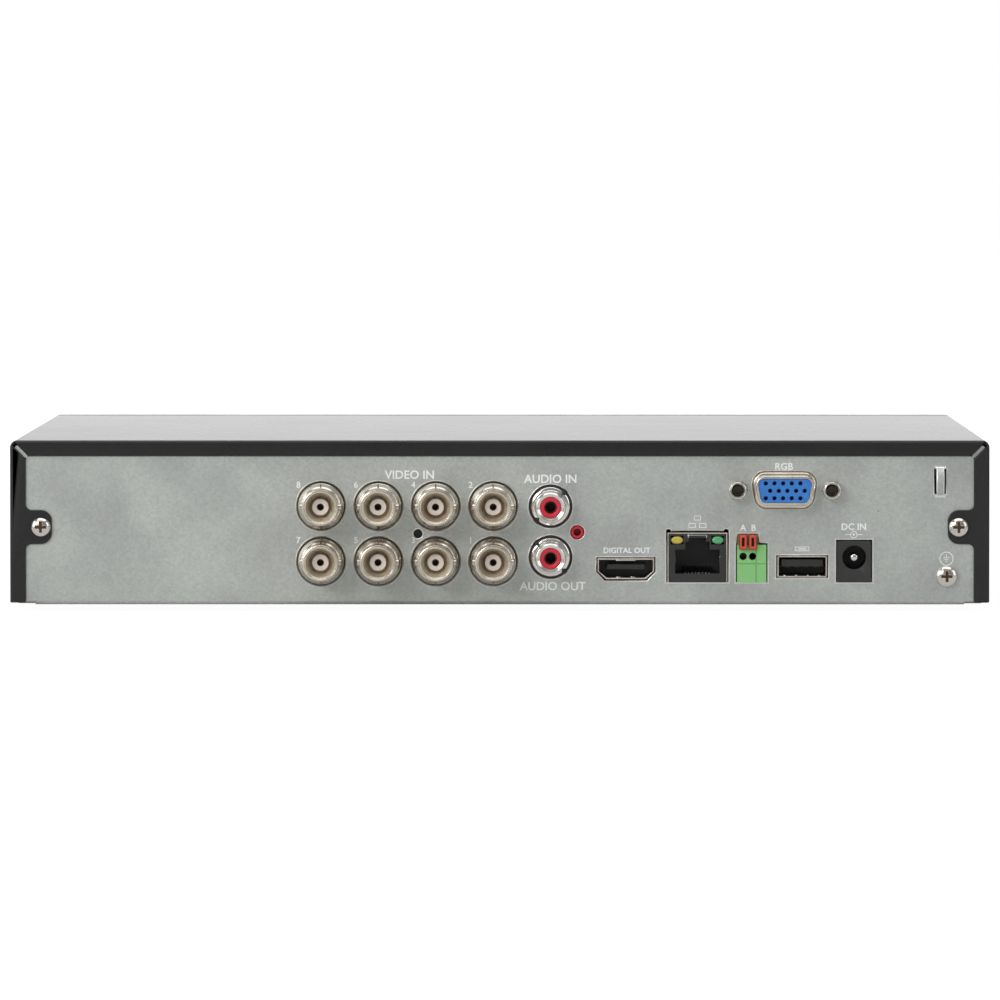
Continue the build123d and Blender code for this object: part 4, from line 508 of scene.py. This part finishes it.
# %% Metals
finish("nickel", (0.74, 0.68, 0.6), 0.24, metallic=1.0, vary=0.2, size=0.4 * MM,
       grain_size=0.3 * MM, grain_height=0.025 * MM)
# The bore's lighter, rougher nickel is painted light. It makes the inside of a coaxial socket look lit.
finish("painted_light_bore_nickel", (0.95, 0.87, 0.77), 0.36, metallic=1.0, vary=0.12, size=0.7 * MM,
       grain_size=0.4 * MM, grain_height=0.012 * MM)
finish("bright_nickel", (0.86, 0.83, 0.79), 0.16, metallic=1.0, vary=0.05, size=0.8 * MM)
finish("bright_screws", (0.74, 0.7, 0.65), 0.17, metallic=1.0, vary=0.07, size=0.5 * MM)
finish("standoff_brass", (0.72, 0.55, 0.26), 0.3, metallic=1.0, vary=0.08)
finish("contact_metal", (0.75, 0.56, 0.27), 0.28, metallic=1.0, vary=0.08, size=0.5 * MM)
# A very dark brass is painted shade, for a contact and for recesses that lie deep in shadow.
finish("painted_shade_brass", (0.13, 0.085, 0.045), 0.4, metallic=1.0, vary=0.1)
# A very dark metal is painted shade. It goes on contacts, clamps and bores deep in the sockets, where little
# light gets.
finish("painted_shade_metal", (0.1, 0.09, 0.075), 0.35, metallic=1.0, vary=0.1)
finish("cell_steel", (0.75, 0.74, 0.72), 0.25, metallic=1.0, vary=0.04)
finish("cast_aluminium", (0.6, 0.6, 0.6), 0.5, metallic=1.0, vary=0.1,
       grain_size=0.5 * MM, grain_height=0.02 * MM)
finish("disc_mirror", (0.9, 0.9, 0.91), 0.04, metallic=1.0, vary=0.01)


def brushed(slot, color, low, high, stretch):
    """A rolled or machined metal. Its streaks are long along the axes with a small stretch."""
    tree, shader, _ = finish(slot, color, low, metallic=1.0, vary=0.05)
    streaks = wire(tree, "ShaderNodeGroup", {
        "Stretch": stretch, "Low Roughness": low, "High Roughness": high,
    }, node_tree=brushing)
    tree.links.new(streaks.outputs["Roughness"], shader.inputs["Roughness"])


brushed("lid_steel", (0.68, 0.68, 0.67), 0.22, 0.42, (60.0, 2500.0, 2500.0))
brushed("machined_steel", (0.66, 0.66, 0.65), 0.22, 0.32, (60.0, 60.0, 1200.0))
brushed("aluminium", (0.8, 0.8, 0.81), 0.25, 0.45, (2500.0, 60.0, 2500.0))
print("finishes so far:", len(materials))

# %% [markdown]
# ### Boards, capacitors and leads
# A board is green lacquer over copper, so its traces show as lighter lines. A brick pattern draws them
# without an image. A capacitor has a dark sleeve and a bare top, which a mask on the direction of the
# surface picks out. The leads are plain sleeving.

# %% Circuit boards, capacitors and leads
tree, shader, base = finish("board_green", (0.012, 0.13, 0.05), 0.32, vary=0.12, size=3 * MM)
traces = wire(tree, "ShaderNodeTexBrick", {
    "Vector": object_place(tree), "Scale": 90.0, "Mortar Size": 0.012, "Mortar Smooth": 0.1,
    "Brick Width": 0.9, "Row Height": 0.16,
})
tint = mixed_color(tree, traces.outputs["Fac"], base.outputs["Color"], (0.05, 0.27, 0.1, 1))
tree.links.new(tint, shader.inputs["Base Color"])

tree, shader, base = finish("capacitor_sleeve", (0.02, 0.03, 0.09), 0.35, vary=0.08)
facing = wire(tree, "ShaderNodeTexCoord").outputs["Normal"]
upward = wire(tree, "ShaderNodeSeparateXYZ", {0: facing}).outputs["Z"]
top = calculate(tree, "GREATER_THAN", upward, 0.9)
tint = mixed_color(tree, top, base.outputs["Color"], (0.7, 0.7, 0.72, 1))
tree.links.new(tint, shader.inputs["Base Color"])
tree.links.new(top, shader.inputs["Metallic"])

finish("lead_jacket", (0.03, 0.03, 0.032), 0.45, vary=0.15, size=2 * MM)
print("finishes:", len(materials))

# %% [markdown]
# ## Dressing the CAD pieces
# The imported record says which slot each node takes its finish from, so a loop dresses all of them, which
# is safer than a list typed twice. The pieces that are rebuilt further down replace their nodes, and the
# rest stay as they are.

# %% Dress every node
slots = {part["node"]: part["material_slot"] for part in frame["record"]["subparts"]}
for node, slot in slots.items():
    nodes[node].data.materials.clear()
    nodes[node].data.materials.append(materials[slot])
print("dressed:", len(slots), "nodes")

# %% [markdown]
# ## Rounded edges
# No real edge is perfectly sharp, and it is the thin line of light along an edge that makes an object
# look solid. The case, the bezel and the mouldings keep their CAD shape, so a copy of the CAD mesh is
# welded, its flat faces are joined, and a Bevel modifier rounds every edge that turns by more than a
# few tens of degrees. Where sheet steel was sheared, the bevel gets the bright finish of a cut edge,
# partly bare metal and partly a painted highlight.

# %% Helpers for finished pieces
SHARP = math.radians(34)
FLAT = math.radians(0.8)


def piece(name, bm, slot=None, stands_for=(), body="case", edge=0.0, edge_finish=None, look=None,
          weighted=False):
    """Makes a finished piece of a bmesh. edge is the width of its rounded edges."""
    mesh = bpy.data.meshes.new(name)
    bm.to_mesh(mesh)
    bm.free()
    mesh.shade_smooth()
    mesh.set_sharp_from_angle(angle=SHARP)
    mesh.materials.append(materials[look or slot])
    made = bpy.data.objects.new(name, mesh)
    bpy.context.scene.collection.objects.link(made)
    if edge:
        rounding = made.modifiers.new("rounded_edges", "BEVEL")
        rounding.width = edge
        rounding.segments = 2
        rounding.limit_method = "WEIGHT" if weighted else "ANGLE"
        rounding.angle_limit = SHARP
        rounding.use_clamp_overlap = False
        rounding.loop_slide = False
        rounding.harden_normals = True
        if edge_finish:
            mesh.materials.append(materials[edge_finish])
            rounding.material = 1
    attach(made, body)
    if stands_for:
        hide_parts(*stands_for)
    return made


def refined(node, edge, edge_finish=None, chosen=None):
    """A copy of a CAD node with rounded edges, which stands for it. chosen picks the edges to round."""
    bm = welded(node)
    bmesh.ops.dissolve_limit(bm, angle_limit=FLAT, use_dissolve_boundaries=False,
                             verts=bm.verts, edges=bm.edges)
    if chosen:
        weight = bm.edges.layers.float.new("bevel_weight_edge")
        for side in bm.edges:
            side[weight] = float(side.is_manifold and side.calc_face_angle() > SHARP and chosen(side))
    piece(node + "_rounded", bm, slots[node], [node], body=nodes[node]["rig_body"], edge=edge,
          edge_finish=edge_finish, weighted=bool(chosen))


# %% [markdown]
# ### The case
# The base is one galvanised sheet. Its cut-outs are sheared, so their rims get a bright finish, partly
# bare metal and partly a painted highlight. Only the rims on the outer face of the panel get a bevel, by a
# weight on each edge, because they are the ones that show and the folds have a radius already. The
# cover's edges are rounded by the powder coat, and the bezel's by its mould.

# %% Round the case
ON_FACE = 0.01 * MM
RIM_REACH, RIM_FLOOR = 127 * MM, 4 * MM  # rims further out are under the cover


def rim_of_panel(side):
    """Whether an edge lies on the panel's outer face and inside its outline."""
    return all(
        v.co.y > panel_y - ON_FACE and abs(v.co.x) < RIM_REACH and v.co.z > RIM_FLOOR for v in side.verts
    )


refined("base_tray", 0.35 * MM, edge_finish="bare_edge_and_highlight", chosen=rim_of_panel)
refined("top_cover", 0.3 * MM)
refined("front_bezel", 0.35 * MM)
refined("front_window", 0.15 * MM)
refined("rubber_feet", 0.5 * MM)
print("case pieces rounded")

# %% [markdown]
# ### Connector bodies, levers and screws
# These are small mouldings, drawn shells and screw heads. Modelling them again would only repeat the CAD
# shape, so they are rounded in the same way, each by the radius that its making leaves. The sprung
# contacts deep inside are darkened, because little light gets to them.

# %% Round the connector bodies
for node, edge in {
    "network_shield": 0.08, "network_housing": 0.1, "digital_video_shell": 0.1, "digital_video_tongue": 0.12,
    "data_port_shells": 0.04, "data_port_tongues": 0.15, "analog_video_shell": 0.1,
    "analog_video_insert": 0.12, "terminal_block": 0.1, "terminal_lever_a": 0.12, "terminal_lever_b": 0.12,
    "power_jack": 0.15, "cover_screws": 0.12, "earth_screw": 0.12,
}.items():
    refined(node, edge * MM)
# The contacts and clamps deep inside take the very dark metal, which is painted shade.
for node in ("terminal_clamps", "network_contacts", "data_port_contacts"):
    nodes[node].data.materials[0] = materials["painted_shade_metal"]
print("connector bodies rounded")


# %% [markdown]
# ## Turned pieces
# A coaxial socket, a phono jack or a pin is round, so it is drawn as half of its section and spun about
# its axis. The spin operator with use_merge closes the ring, doubles on the axis are welded, and the
# normals are recalculated, because a spin can turn a shape inside out. The section is drawn once, at
# the origin, and duplicated to every place that the CAD node has a solid.

# %% Helpers for turned and repeated shapes
ROUND = 64  # sides of a turned piece


def only_verts(geometry):
    return [item for item in geometry if isinstance(item, bmesh.types.BMVert)]


def edges_among(bm, verts):
    """The edges with both ends among some vertices."""
    chosen = set(verts)
    return [edge for edge in bm.edges if chosen.issuperset(edge.verts)]


def take_in(bm, other):
    """Copies another bmesh into this one and frees it."""
    scratch = bpy.data.meshes.new("scratch")
    other.to_mesh(scratch)
    other.free()
    bm.from_mesh(scratch)
    bpy.data.meshes.remove(scratch)


def spread(bm, places):
    """Repeats a shape at each place and removes the original."""
    original = bm.verts[:] + bm.edges[:] + bm.faces[:]
    for place in places:
        copied = bmesh.ops.duplicate(bm, geom=original)["geom"]
        bmesh.ops.translate(bm, verts=only_verts(copied), vec=place)
    bmesh.ops.delete(bm, geom=only_verts(original), context="VERTS")
    return bm


def turned(section):
    """Spins a closed section of (radius, place along Y) points, in mm, about Y."""
    bm = bmesh.new()
    corners = [bm.verts.new((radius * MM, along * MM, 0)) for radius, along in section]
    sides = [bm.edges.new(pair) for pair in zip(corners, corners[1:] + corners[:1])]
    bmesh.ops.spin(bm, geom=corners + sides, cent=(0, 0, 0), axis=(0, 1, 0), dvec=(0, 0, 0),
                   angle=2 * math.pi, steps=ROUND, use_merge=True, use_duplicate=False)
    bmesh.ops.remove_doubles(bm, verts=bm.verts, dist=0.0001 * MM)
    bmesh.ops.recalc_face_normals(bm, faces=bm.faces)
    return bm


def brick(bm, low, high, edge=0.0):
    """Adds a block between two corners, in mm, with rounded edges."""
    low, high = Vector(low) * MM, Vector(high) * MM
    made = bmesh.ops.create_cube(bm, size=1.0)["verts"]
    bmesh.ops.scale(bm, vec=high - low, verts=made)
    bmesh.ops.translate(bm, vec=(low + high) / 2, verts=made)
    if edge:
        bmesh.ops.bevel(bm, geom=edges_among(bm, made), offset=edge * MM, offset_type="OFFSET",
                        affect="EDGES", segments=2, profile=0.5, material=-1)
    return bm


# %% [markdown]
# ### Coaxial sockets
# Each socket is die cast and nickel plated. From the panel outwards come a round neck, a cone, and a
# barrel with two bayonet lugs. The mould leaves a parting tick on the cone above and below. Inside, the
# bore narrows to a cup around a pale insulator with a sprung brass contact in its middle.

# %% Model the coaxial sockets
NECK, BARREL, REACH = 6.05, 4.85, 12.6
BORE = 4.08
bm = turned([
    (2.3, -8.0), (4.85, -8.0), (4.85, -2.05), (6.9, -2.05), (6.9, -0.85), (NECK, -0.85), (NECK, 2.2),
    (NECK - 0.3, 2.5), (5.25, 4.3), (BARREL, 4.6), (BARREL, REACH - 0.35), (BARREL - 0.12, REACH - 0.1),
    (BARREL - 0.35, REACH), (4.3, REACH), (4.1, REACH - 0.2), (4.06, REACH - 1.2), (3.85, REACH - 1.4),
    (3.8, 10.2), (3.45, 8.3), (3.2, 8.0), (2.9, 5.6), (2.5, 4.4), (2.3, 4.2),
])
# Faces inside the bore take the second, lighter finish, which is painted light.
for face in bm.faces:
    middle_of_face = face.calc_center_median()
    face.material_index = int(math.hypot(middle_of_face.x, middle_of_face.z) < BORE * MM)
LUG, LUG_TIP, LUG_PLACE = 0.85, BARREL + 0.65, REACH - 5.0
for side in (-1, 1):
    made = bmesh.ops.create_cone(bm, cap_ends=True, segments=24, radius1=LUG * MM, radius2=LUG * MM,
                                 depth=(LUG_TIP - BARREL + 0.5) * MM)["verts"]
    bmesh.ops.rotate(bm, verts=made, cent=(0, 0, 0), matrix=Matrix.Rotation(math.pi / 2, 3, "Y"))
    bmesh.ops.translate(bm, verts=made, vec=(side * (LUG_TIP + BARREL - 0.5) / 2 * MM, LUG_PLACE * MM, 0))
    tick_low, tick_high = sorted((side * 5.05, side * (NECK - 0.15)))
    brick(bm, (-0.2, 2.0, tick_low), (0.2, 4.6, tick_high), edge=0.08)
shells = piece("coax_socket_shells", spread(bm, coax_at), "nickel", ["coax_shells"], edge=0.07 * MM)
shells.data.materials.append(materials["painted_light_bore_nickel"])
# A thin black ring in the gap round each neck is painted shade.
bm = turned([(NECK + 0.02, -0.8), (6.45, -0.8), (6.45, -0.5), (NECK + 0.02, -0.5)])
piece("coax_socket_gap_shade", spread(bm, coax_at), "black_moulding")

# %% [markdown]
# The insulator is a moulded tube, and the contact is a hollow brass pin whose tip lies below the mouth of
# the tube. Both are turned like the shell, so they share its axis exactly.

# %% Model their insulators and contacts
bm = turned([(0.95, -8.0), (2.2, -8.0), (2.2, 8.2), (2.1, 8.5), (1.9, 8.6), (1.05, 8.6), (0.95, 8.5)])
piece("coax_socket_insulators", spread(bm, coax_at), "insulator", ["coax_insulators"])
# The contact takes a very dark brass, painted shade, because it lies deep in the socket.
bm = turned([
    (0.0, -10.0), (0.88, -10.0), (0.88, 6.3), (0.8, 6.5), (0.7, 6.5), (0.6, 6.3), (0.6, 1.0), (0.0, 1.0),
])
piece("coax_socket_contacts", spread(bm, coax_at), "contact_metal", ["coax_contacts"], look="painted_shade_brass")
print("coaxial sockets:", len(coax_at))

# %% [markdown]
# ### Phono jacks
# The jack's outer contact is a drawn, brightly plated shell with a rolled rim and a stepped root, and a
# red moulded core fills it. Its section has many small radii, and a turned section shows each of them.

# %% Model the phono jacks
PHONO_REACH = 9.0
bm = turned([
    (2.88, -0.85), (5.15, -0.85), (5.15, 0.1), (5.05, 0.4), (4.8, 0.56), (4.3, 0.6), (4.15, 0.75),
    (4.15, 8.3), (4.08, 8.6), (3.9, 8.85), (3.65, PHONO_REACH), (3.4, 8.9), (3.05, 8.72), (2.88, 8.65),
])
piece("phono_jack_shells", spread(bm, phono_at), "nickel", ["phono_shells"], look="bright_nickel")
bm = turned([(1.65, -6.8), (2.83, -6.8), (2.83, 8.45), (2.7, 8.6), (1.95, 8.6), (1.75, 8.5), (1.65, 8.3)])
piece("phono_jack_cores", spread(bm, phono_at), "phono_red", ["phono_cores"])
# The contact deep in each jack takes the very dark metal, which is painted shade.
bm = turned([(1.3, -6.8), (1.6, -6.8), (1.6, 4.5), (1.3, 4.5)])
piece("phono_jack_contacts", spread(bm, phono_at), "contact_metal", ["phono_contacts"], look="painted_shade_metal")

# %% [markdown]
# A black ring behind the panel round each shell's root is painted shade in the narrow gap there, and two
# black pegs show beside the root. The upper ring is the mirror image of the lower one, so the pegs change
# sides with the sign of the slant.

# %% Model the painted shade rings and their pegs
bm = bmesh.new()
for index, place in enumerate(phono_at):
    ring = turned([(5.2, -0.85), (5.7, -0.85), (5.7, -0.4), (5.2, -0.4)])
    slant = 1 if index else -1
    for side in (-1, 1):
        x, z = side * slant * 3.5, side * -3.5
        brick(ring, (x - 0.5, -0.5, z - 0.5), (x + 0.5, 0.68, z + 0.5), edge=0.1)
    take_in(bm, spread(ring, [place]))
piece("phono_root_shade", bm, "black_moulding")
refined("phono_housing", 0.1 * MM)
print("phono jacks:", len(phono_at))

# %% [markdown]
# ### Lamp lenses and lever slots
# A lens of the network socket is a clear oval light pipe, so it is a cylinder squeezed into an oval, with
# a bevel that makes its face a small dome. The push levers of the terminal have a deep slot for a
# screwdriver. Its floor lies in shade, so a thin dark plate, painted shade, lies in it and moves with it.

# %% Model the lenses and the slots
DOME = 0.7 * MM
RIM_TURN = 1.0  # radians between a lens's face and its side
for node, slot in (("network_lamp_yellow", "lens_yellow"), ("network_lamp_green", "lens_green")):
    low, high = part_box(node)
    bm = bmesh.new()
    verts = bmesh.ops.create_cone(bm, cap_ends=True, segments=48, radius1=0.5, radius2=0.5,
                                  depth=1.0)["verts"]
    bmesh.ops.rotate(bm, verts=verts, cent=(0, 0, 0), matrix=Matrix.Rotation(math.pi / 2, 3, "X"))
    bmesh.ops.scale(bm, vec=high - low, verts=verts)
    rims = [side for side in bm.edges if side.calc_face_angle() > RIM_TURN]
    bmesh.ops.bevel(bm, geom=rims, offset=DOME, offset_type="OFFSET", affect="EDGES", segments=6,
                    profile=0.5, material=-1)
    piece(node + "_lens", spread(bm, [(low + high) / 2]), slot, [node])

for lever in ("terminal_lever_a", "terminal_lever_b"):
    low, high = [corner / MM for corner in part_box(lever)]
    x = (low.x + high.x) / 2
    # A thin dark plate in each lever's slot is painted shade.
    bm = brick(bmesh.new(), (x - 0.32, high.y - 1.59, high.z - 3.0), (x + 0.32, high.y - 1.3, high.z - 0.8))
    piece(lever + "_slot", bm, body=lever, look="chip_black")
print("lenses and slots placed")

# %% [markdown]
# ### Jackscrews
# The D socket is held by two hexagonal standoffs with a threaded bore and a conical mouth. The spin
# can't make a hexagon, so each is a stack of rings bridged together: a ring is a circle, and the lower
# rings are pulled out to the hexagon's flats by the ratio between a flat and its circle.

# %% Model the jackscrews
FLATS = 4.75
SIDES = 48


def ring_of(bm, radius, along, hexagonal):
    """A ring of edges about Y. A hexagonal ring has its flats at the radius."""
    verts = bmesh.ops.create_circle(bm, cap_ends=False, segments=SIDES, radius=radius * MM)["verts"]
    bmesh.ops.rotate(bm, verts=verts, cent=(0, 0, 0), matrix=Matrix.Rotation(-math.pi / 2, 3, "X"))
    for vertex in verts:
        if hexagonal:
            angle = math.atan2(vertex.co.z, vertex.co.x) % (math.pi / 3) - math.pi / 6
            vertex.co *= 1 / math.cos(angle)
        vertex.co.y = along * MM
    return edges_among(bm, verts)


bm = bmesh.new()
flat = FLATS / 2
levels = [(flat, 0.0, True), (flat, 3.7, True), (flat + 0.1, 4.2, False), (flat - 0.1, 4.9, False),
          (flat - 0.3, 5.0, False), (1.35, 4.2, False), (1.3, 4.1, False), (1.3, 0.5, False)]
rings = [ring_of(bm, *level) for level in levels]
for lower, upper in zip(rings, rings[1:]):
    bmesh.ops.bridge_loops(bm, edges=lower + upper)
bmesh.ops.edgenet_fill(bm, edges=rings[0])
bmesh.ops.edgenet_fill(bm, edges=rings[-1])
take_in(bm, turned([(0, -5.0), (1.5, -5.0), (1.5, 0.0), (0, 0.0)]))
bmesh.ops.recalc_face_normals(bm, faces=bm.faces)
screw_at = [at_plane(box, panel_y) for box in solids("jackscrews")]
piece("video_jackscrews", spread(bm, screw_at), "bright_screws", ["jackscrews"], edge=0.06 * MM)
# A dark tube in each jackscrew's bore is painted shade.
bm = turned([(0, 0.6), (1.26, 0.6), (1.26, 3.9), (1.1, 3.9), (1.1, 0.8), (0, 0.8)])
piece("jackscrew_bore_shade", spread(bm, screw_at), look="painted_shade_metal")
print("jackscrews:", len(screw_at))

# %% [markdown]
# ### Screw recesses
# The heads that show have a cross recess. Light hardly gets in, so a dark cross of two thin plates,
# painted shade, lies deep in the recess, turned the same way as its arms. One plate is a hair higher than
# the other, because two faces in one plane would flicker.

# %% Darken the recesses
RECESS_ARM, RECESS_WIDTH, RECESS_FLOOR = 1.42, 0.66, 0.82
bm = bmesh.new()
brick(bm, (-RECESS_ARM, RECESS_FLOOR, -RECESS_WIDTH / 2), (RECESS_ARM, RECESS_FLOOR + 0.45, RECESS_WIDTH / 2))
brick(bm, (-RECESS_WIDTH / 2, RECESS_FLOOR, -RECESS_ARM), (RECESS_WIDTH / 2, RECESS_FLOOR + 0.46, RECESS_ARM))
heads_at = []
for node, plane in (("cover_screws", flange_y), ("earth_screw", panel_y)):
    heads_at += [at_plane(box, plane) for box in solids(node) if box[1].y > panel_y]
piece("screw_recess_shade", spread(bm, heads_at), look="painted_shade_brass")
print("recesses:", len(heads_at))

# %% [markdown]
# ### Power pin
# The pin in the power inlet is turned brass with a plated, domed tip. The CAD pin has a flat end, and a
# bevel would round only its rim, so the pin is turned with its dome drawn in the section.

# %% Model the power pin
pin = middle(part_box("power_jack_pin"))
bm = turned([(0, -9.0), (1.05, -9.0), (1.05, -0.9), (0.98, -0.6), (0.8, -0.4), (0.45, -0.3), (0, -0.28)])
piece("power_pin", spread(bm, [(pin.x, panel_y, pin.z)]), "nickel", ["power_jack_pin"], look="bright_nickel")
print("power pin at x", round(pin.x / MM, 1), "mm")

# %% [markdown]
# ## Small parts inside the sockets
# The sockets look alive because of little bright things in their dark mouths: sprung fingers that touch
# the plug's shell, and the tips of contacts. Each is a small block with rounded edges, placed from the
# box of the shell that holds it. The network socket has three fingers at each side, eight contact tips,
# and the bent edge of its shield above.

# %% Fingers and contact tips of the network socket
low, high = [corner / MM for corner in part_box("network_shield")]
centre = (low.x + high.x) / 2
face = panel_y / MM
bm = bmesh.new()
for side in (-1, 1):
    wall = centre + side * 6.35
    for bottom, height, width in ((1.9, 2.9, 0.3), (5.0, 1.9, 0.5), (7.1, 1.9, 0.3)):
        x0, x1 = sorted((wall, wall - side * width))
        brick(bm, (x0, face - 1.6, low.z + bottom), (x1, face - 0.2, low.z + bottom + height), edge=0.1)
tips = 8
for index in range(tips):
    x = centre + (index - (tips - 1) / 2) * 0.92
    brick(bm, (x - 0.1, face - 2.6, low.z + 2.25), (x + 0.1, face - 2.2, low.z + 2.5), edge=0.04)
brick(bm, (centre - 2.5, face + 0.1, high.z - 0.75), (centre + 2.5, face + 0.38, high.z - 0.55), edge=0.08)
for side in (-1, 1):
    x0, x1 = sorted((centre + side * 2.3, centre + side * 2.55))
    brick(bm, (x0, face + 0.1, high.z - 1.3), (x1, face + 0.38, high.z - 0.6), edge=0.08)
piece("network_fingers", bm, "nickel", look="bright_nickel")
print("network contact tips:", tips)

# %% [markdown]
# The digital video socket has a wide finger above its tongue and two narrow ones below. Its contacts lie
# in a row on the tongue. Real ones are too fine to be told apart, so ten stand for all of them.

# %% Fingers and contacts of the digital video socket
low, high = [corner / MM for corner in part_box("digital_video_shell")]
centre, tongue_top = (low.x + high.x) / 2, high.z - 1.65
bm = bmesh.new()
brick(bm, (centre - 2.6, face - 2.5, high.z - 0.62), (centre + 2.6, face + 0.2, high.z - 0.36), edge=0.08)
for side in (-1, 1):
    x = centre + side * 1.9
    brick(bm, (x - 0.5, face - 2.5, high.z - 5.15), (x + 0.5, face - 0.3, high.z - 4.85), edge=0.1)
piece("digital_fingers", bm, "nickel", look="bright_nickel")
# The contacts take the very dark metal, painted shade, because little light reaches the tongue.
bm = bmesh.new()
contacts = 10
for index in range(contacts):
    x = centre + (index - (contacts - 1) / 2) * 0.95
    brick(bm, (x - 0.22, face - 4.5, tongue_top - 0.02), (x + 0.22, face - 1.7, tongue_top + 0.16), edge=0.04)
piece("digital_contacts", bm, "contact_metal", look="painted_shade_metal")
print("digital video contacts:", contacts)

# %% [markdown]
# The shell of a data port has dimples in its floor that grip the plug. They are pressed from the shell,
# but as separate blocks they need no cut in it. One port faces the rear and one the front, so the sign of
# its place says which way is inward.

# %% Dimples of the data ports
DIMPLES = 4
bm = bmesh.new()
for box in solids("data_port_shells"):
    low, high = box[0] / MM, box[1] / MM
    mouth, inward = (high.y, -1) if low.y > 0 else (low.y, 1)
    for index in range(DIMPLES):
        x = (low.x + high.x) / 2 + (index - (DIMPLES - 1) / 2) * 3.04
        y0, y1 = sorted((mouth + inward * 0.5, mouth + inward * 1.2))
        floor_of_port = high.z - 5.7 + 0.35
        brick(bm, (x - 0.28, y0, floor_of_port), (x + 0.28, y1, floor_of_port + 0.3), edge=0.12)
piece("data_port_dimples", bm, "nickel", look="bright_nickel")
print("small socket parts placed")

# %% [markdown]
# ## Printed labels
# The panel carries plain words and simple signs in pale ink. Ink on steel has a real thickness, so each
# word is a text object turned into a mesh, 0.03 mm thick, and moved onto the panel. From behind the
# recorder, +X is on the left, so a word runs towards -X. The words are generic.

# %% Helpers for ink
INK = 0.03
TO_PANEL = Matrix(((-1, 0, 0), (0, 0, 1), (0, 1, 0))).to_4x4()  # words run to -X, stand up Z, and face +Y

FATTEN = 0.018  # how far the font's outlines are moved outwards


def word(bm, text, x, z, height):
    """Adds a word to the bmesh, centred at x and z and with capitals of a height, in mm."""
    curve = bpy.data.curves.new("word", "FONT")
    curve.body = text
    curve.resolution_u = 3
    curve.offset = FATTEN
    holder = bpy.data.objects.new("word", curve)
    bpy.context.scene.collection.objects.link(holder)
    bpy.context.view_layer.update()
    mesh = bpy.data.meshes.new_from_object(holder.evaluated_get(bpy.context.evaluated_depsgraph_get()))
    bpy.data.objects.remove(holder)
    xs, ys = [v.co.x for v in mesh.vertices], [v.co.y for v in mesh.vertices]
    size = height * MM / (max(ys) - min(ys))
    centred = Matrix.Translation((-(max(xs) + min(xs)) / 2, -(max(ys) + min(ys)) / 2, 0))
    mesh.transform(Matrix.Translation((x * MM, panel_y, z * MM)) @ TO_PANEL @ Matrix.Scale(size, 4) @ centred)
    before = set(bm.faces)
    bm.from_mesh(mesh)
    fresh = [f for f in bm.faces if f not in before]
    raised = bmesh.ops.extrude_face_region(bm, geom=fresh)["geom"]
    bmesh.ops.translate(bm, verts=only_verts(raised), vec=(0, INK * MM, 0))


def stroke(bm, x, z, length, thickness, angle=0.0):
    """Adds a straight inked line, centred at x and z, in mm, turned by an angle in degrees."""
    before = set(bm.verts)
    brick(bm, (-length / 2, 0, -thickness / 2), (length / 2, INK, thickness / 2))
    fresh = [v for v in bm.verts if v not in before]
    bmesh.ops.rotate(bm, verts=fresh, cent=(0, 0, 0), matrix=Matrix.Rotation(math.radians(angle), 3, "Y"))
    bmesh.ops.translate(bm, verts=fresh, vec=(x * MM, panel_y, z * MM))


def loop(bm, x, z, radius, thickness):
    """Adds an inked circle."""
    ring = turned([(radius - thickness / 2, 0), (radius + thickness / 2, 0),
                   (radius + thickness / 2, INK), (radius - thickness / 2, INK)])
    take_in(bm, spread(ring, [(x * MM, panel_y, z * MM)]))


# %% [markdown]
# Each word names the socket beside it, and the coaxial sockets are numbered in pairs from the right. The
# heights are those of the capitals, so that words of different length match.

# %% Print the words
bm = bmesh.new()
for text, x, z, height in (
    ("VIDEO IN", 24.0, 36.5, 2.3), ("AUDIO IN", -13.4, 35.4, 2.3), ("AUDIO OUT", -14.05, 6.9, 2.3),
    ("DIGITAL OUT", -33.8, 16.4, 1.5), ("RGB", -75.5, 38.7, 1.9), ("DC IN", -94.0, 22.7, 1.8),
    ("A  B", -65.9, 22.4, 1.7),
):
    word(bm, text, x, z, height)
for column in range(4):
    for row in range(2):
        number = 2 * column + 1 + row
        place = coax_at[column + 4 * row]
        word(bm, str(number), place.x / MM + 6.0, place.z / MM + 5.6, 1.7)
print("words printed:", len(bm.faces), "faces")

# %% [markdown]
# The signs beside the words are plain ones: three boxes for the network, the mouth of a socket for the
# data port, a ring with a dot between two dashes for direct current, and the earth sign in its circle.
# Straight blocks and rings are enough to draw them, and they join the words in one mesh.

# %% Draw the signs
for x, z in ((-52.5, 25.0), (-53.9, 23.0), (-51.1, 23.0)):
    for dz in (-0.55, 0.55):
        stroke(bm, x, z + dz, 1.7, 0.18)
    for dx in (-0.85, 0.85):
        stroke(bm, x + dx, z, 1.1, 0.18, 90)
for dz in (-0.5, 0.5):
    stroke(bm, -80.3, 16.8 + dz, 3.6, 0.2)
for dx in (-1.8, 1.8):
    stroke(bm, -80.3 + dx, 16.8, 1.2, 0.2, 90)
stroke(bm, -80.3, 16.8, 2.2, 0.3)
loop(bm, -94.0, 20.6, 0.85, 0.18)
stroke(bm, -94.0, 20.6, 0.5, 0.5)
for dx in (-1.6, 1.6):
    stroke(bm, -94.0 + dx, 20.6, 1.3, 0.18)
loop(bm, -118.6, 14.2, 1.75, 0.2)
for dz, length in ((0.3, 1.6), (-0.2, 1.0), (-0.7, 0.5)):
    stroke(bm, -118.6, 14.2 + dz, length, 0.18)
stroke(bm, -118.6, 14.85, 1.1, 0.18, 90)
bmesh.ops.recalc_face_normals(bm, faces=bm.faces)
piece("panel_labels", bm, look="label_ink")
print("labels printed")
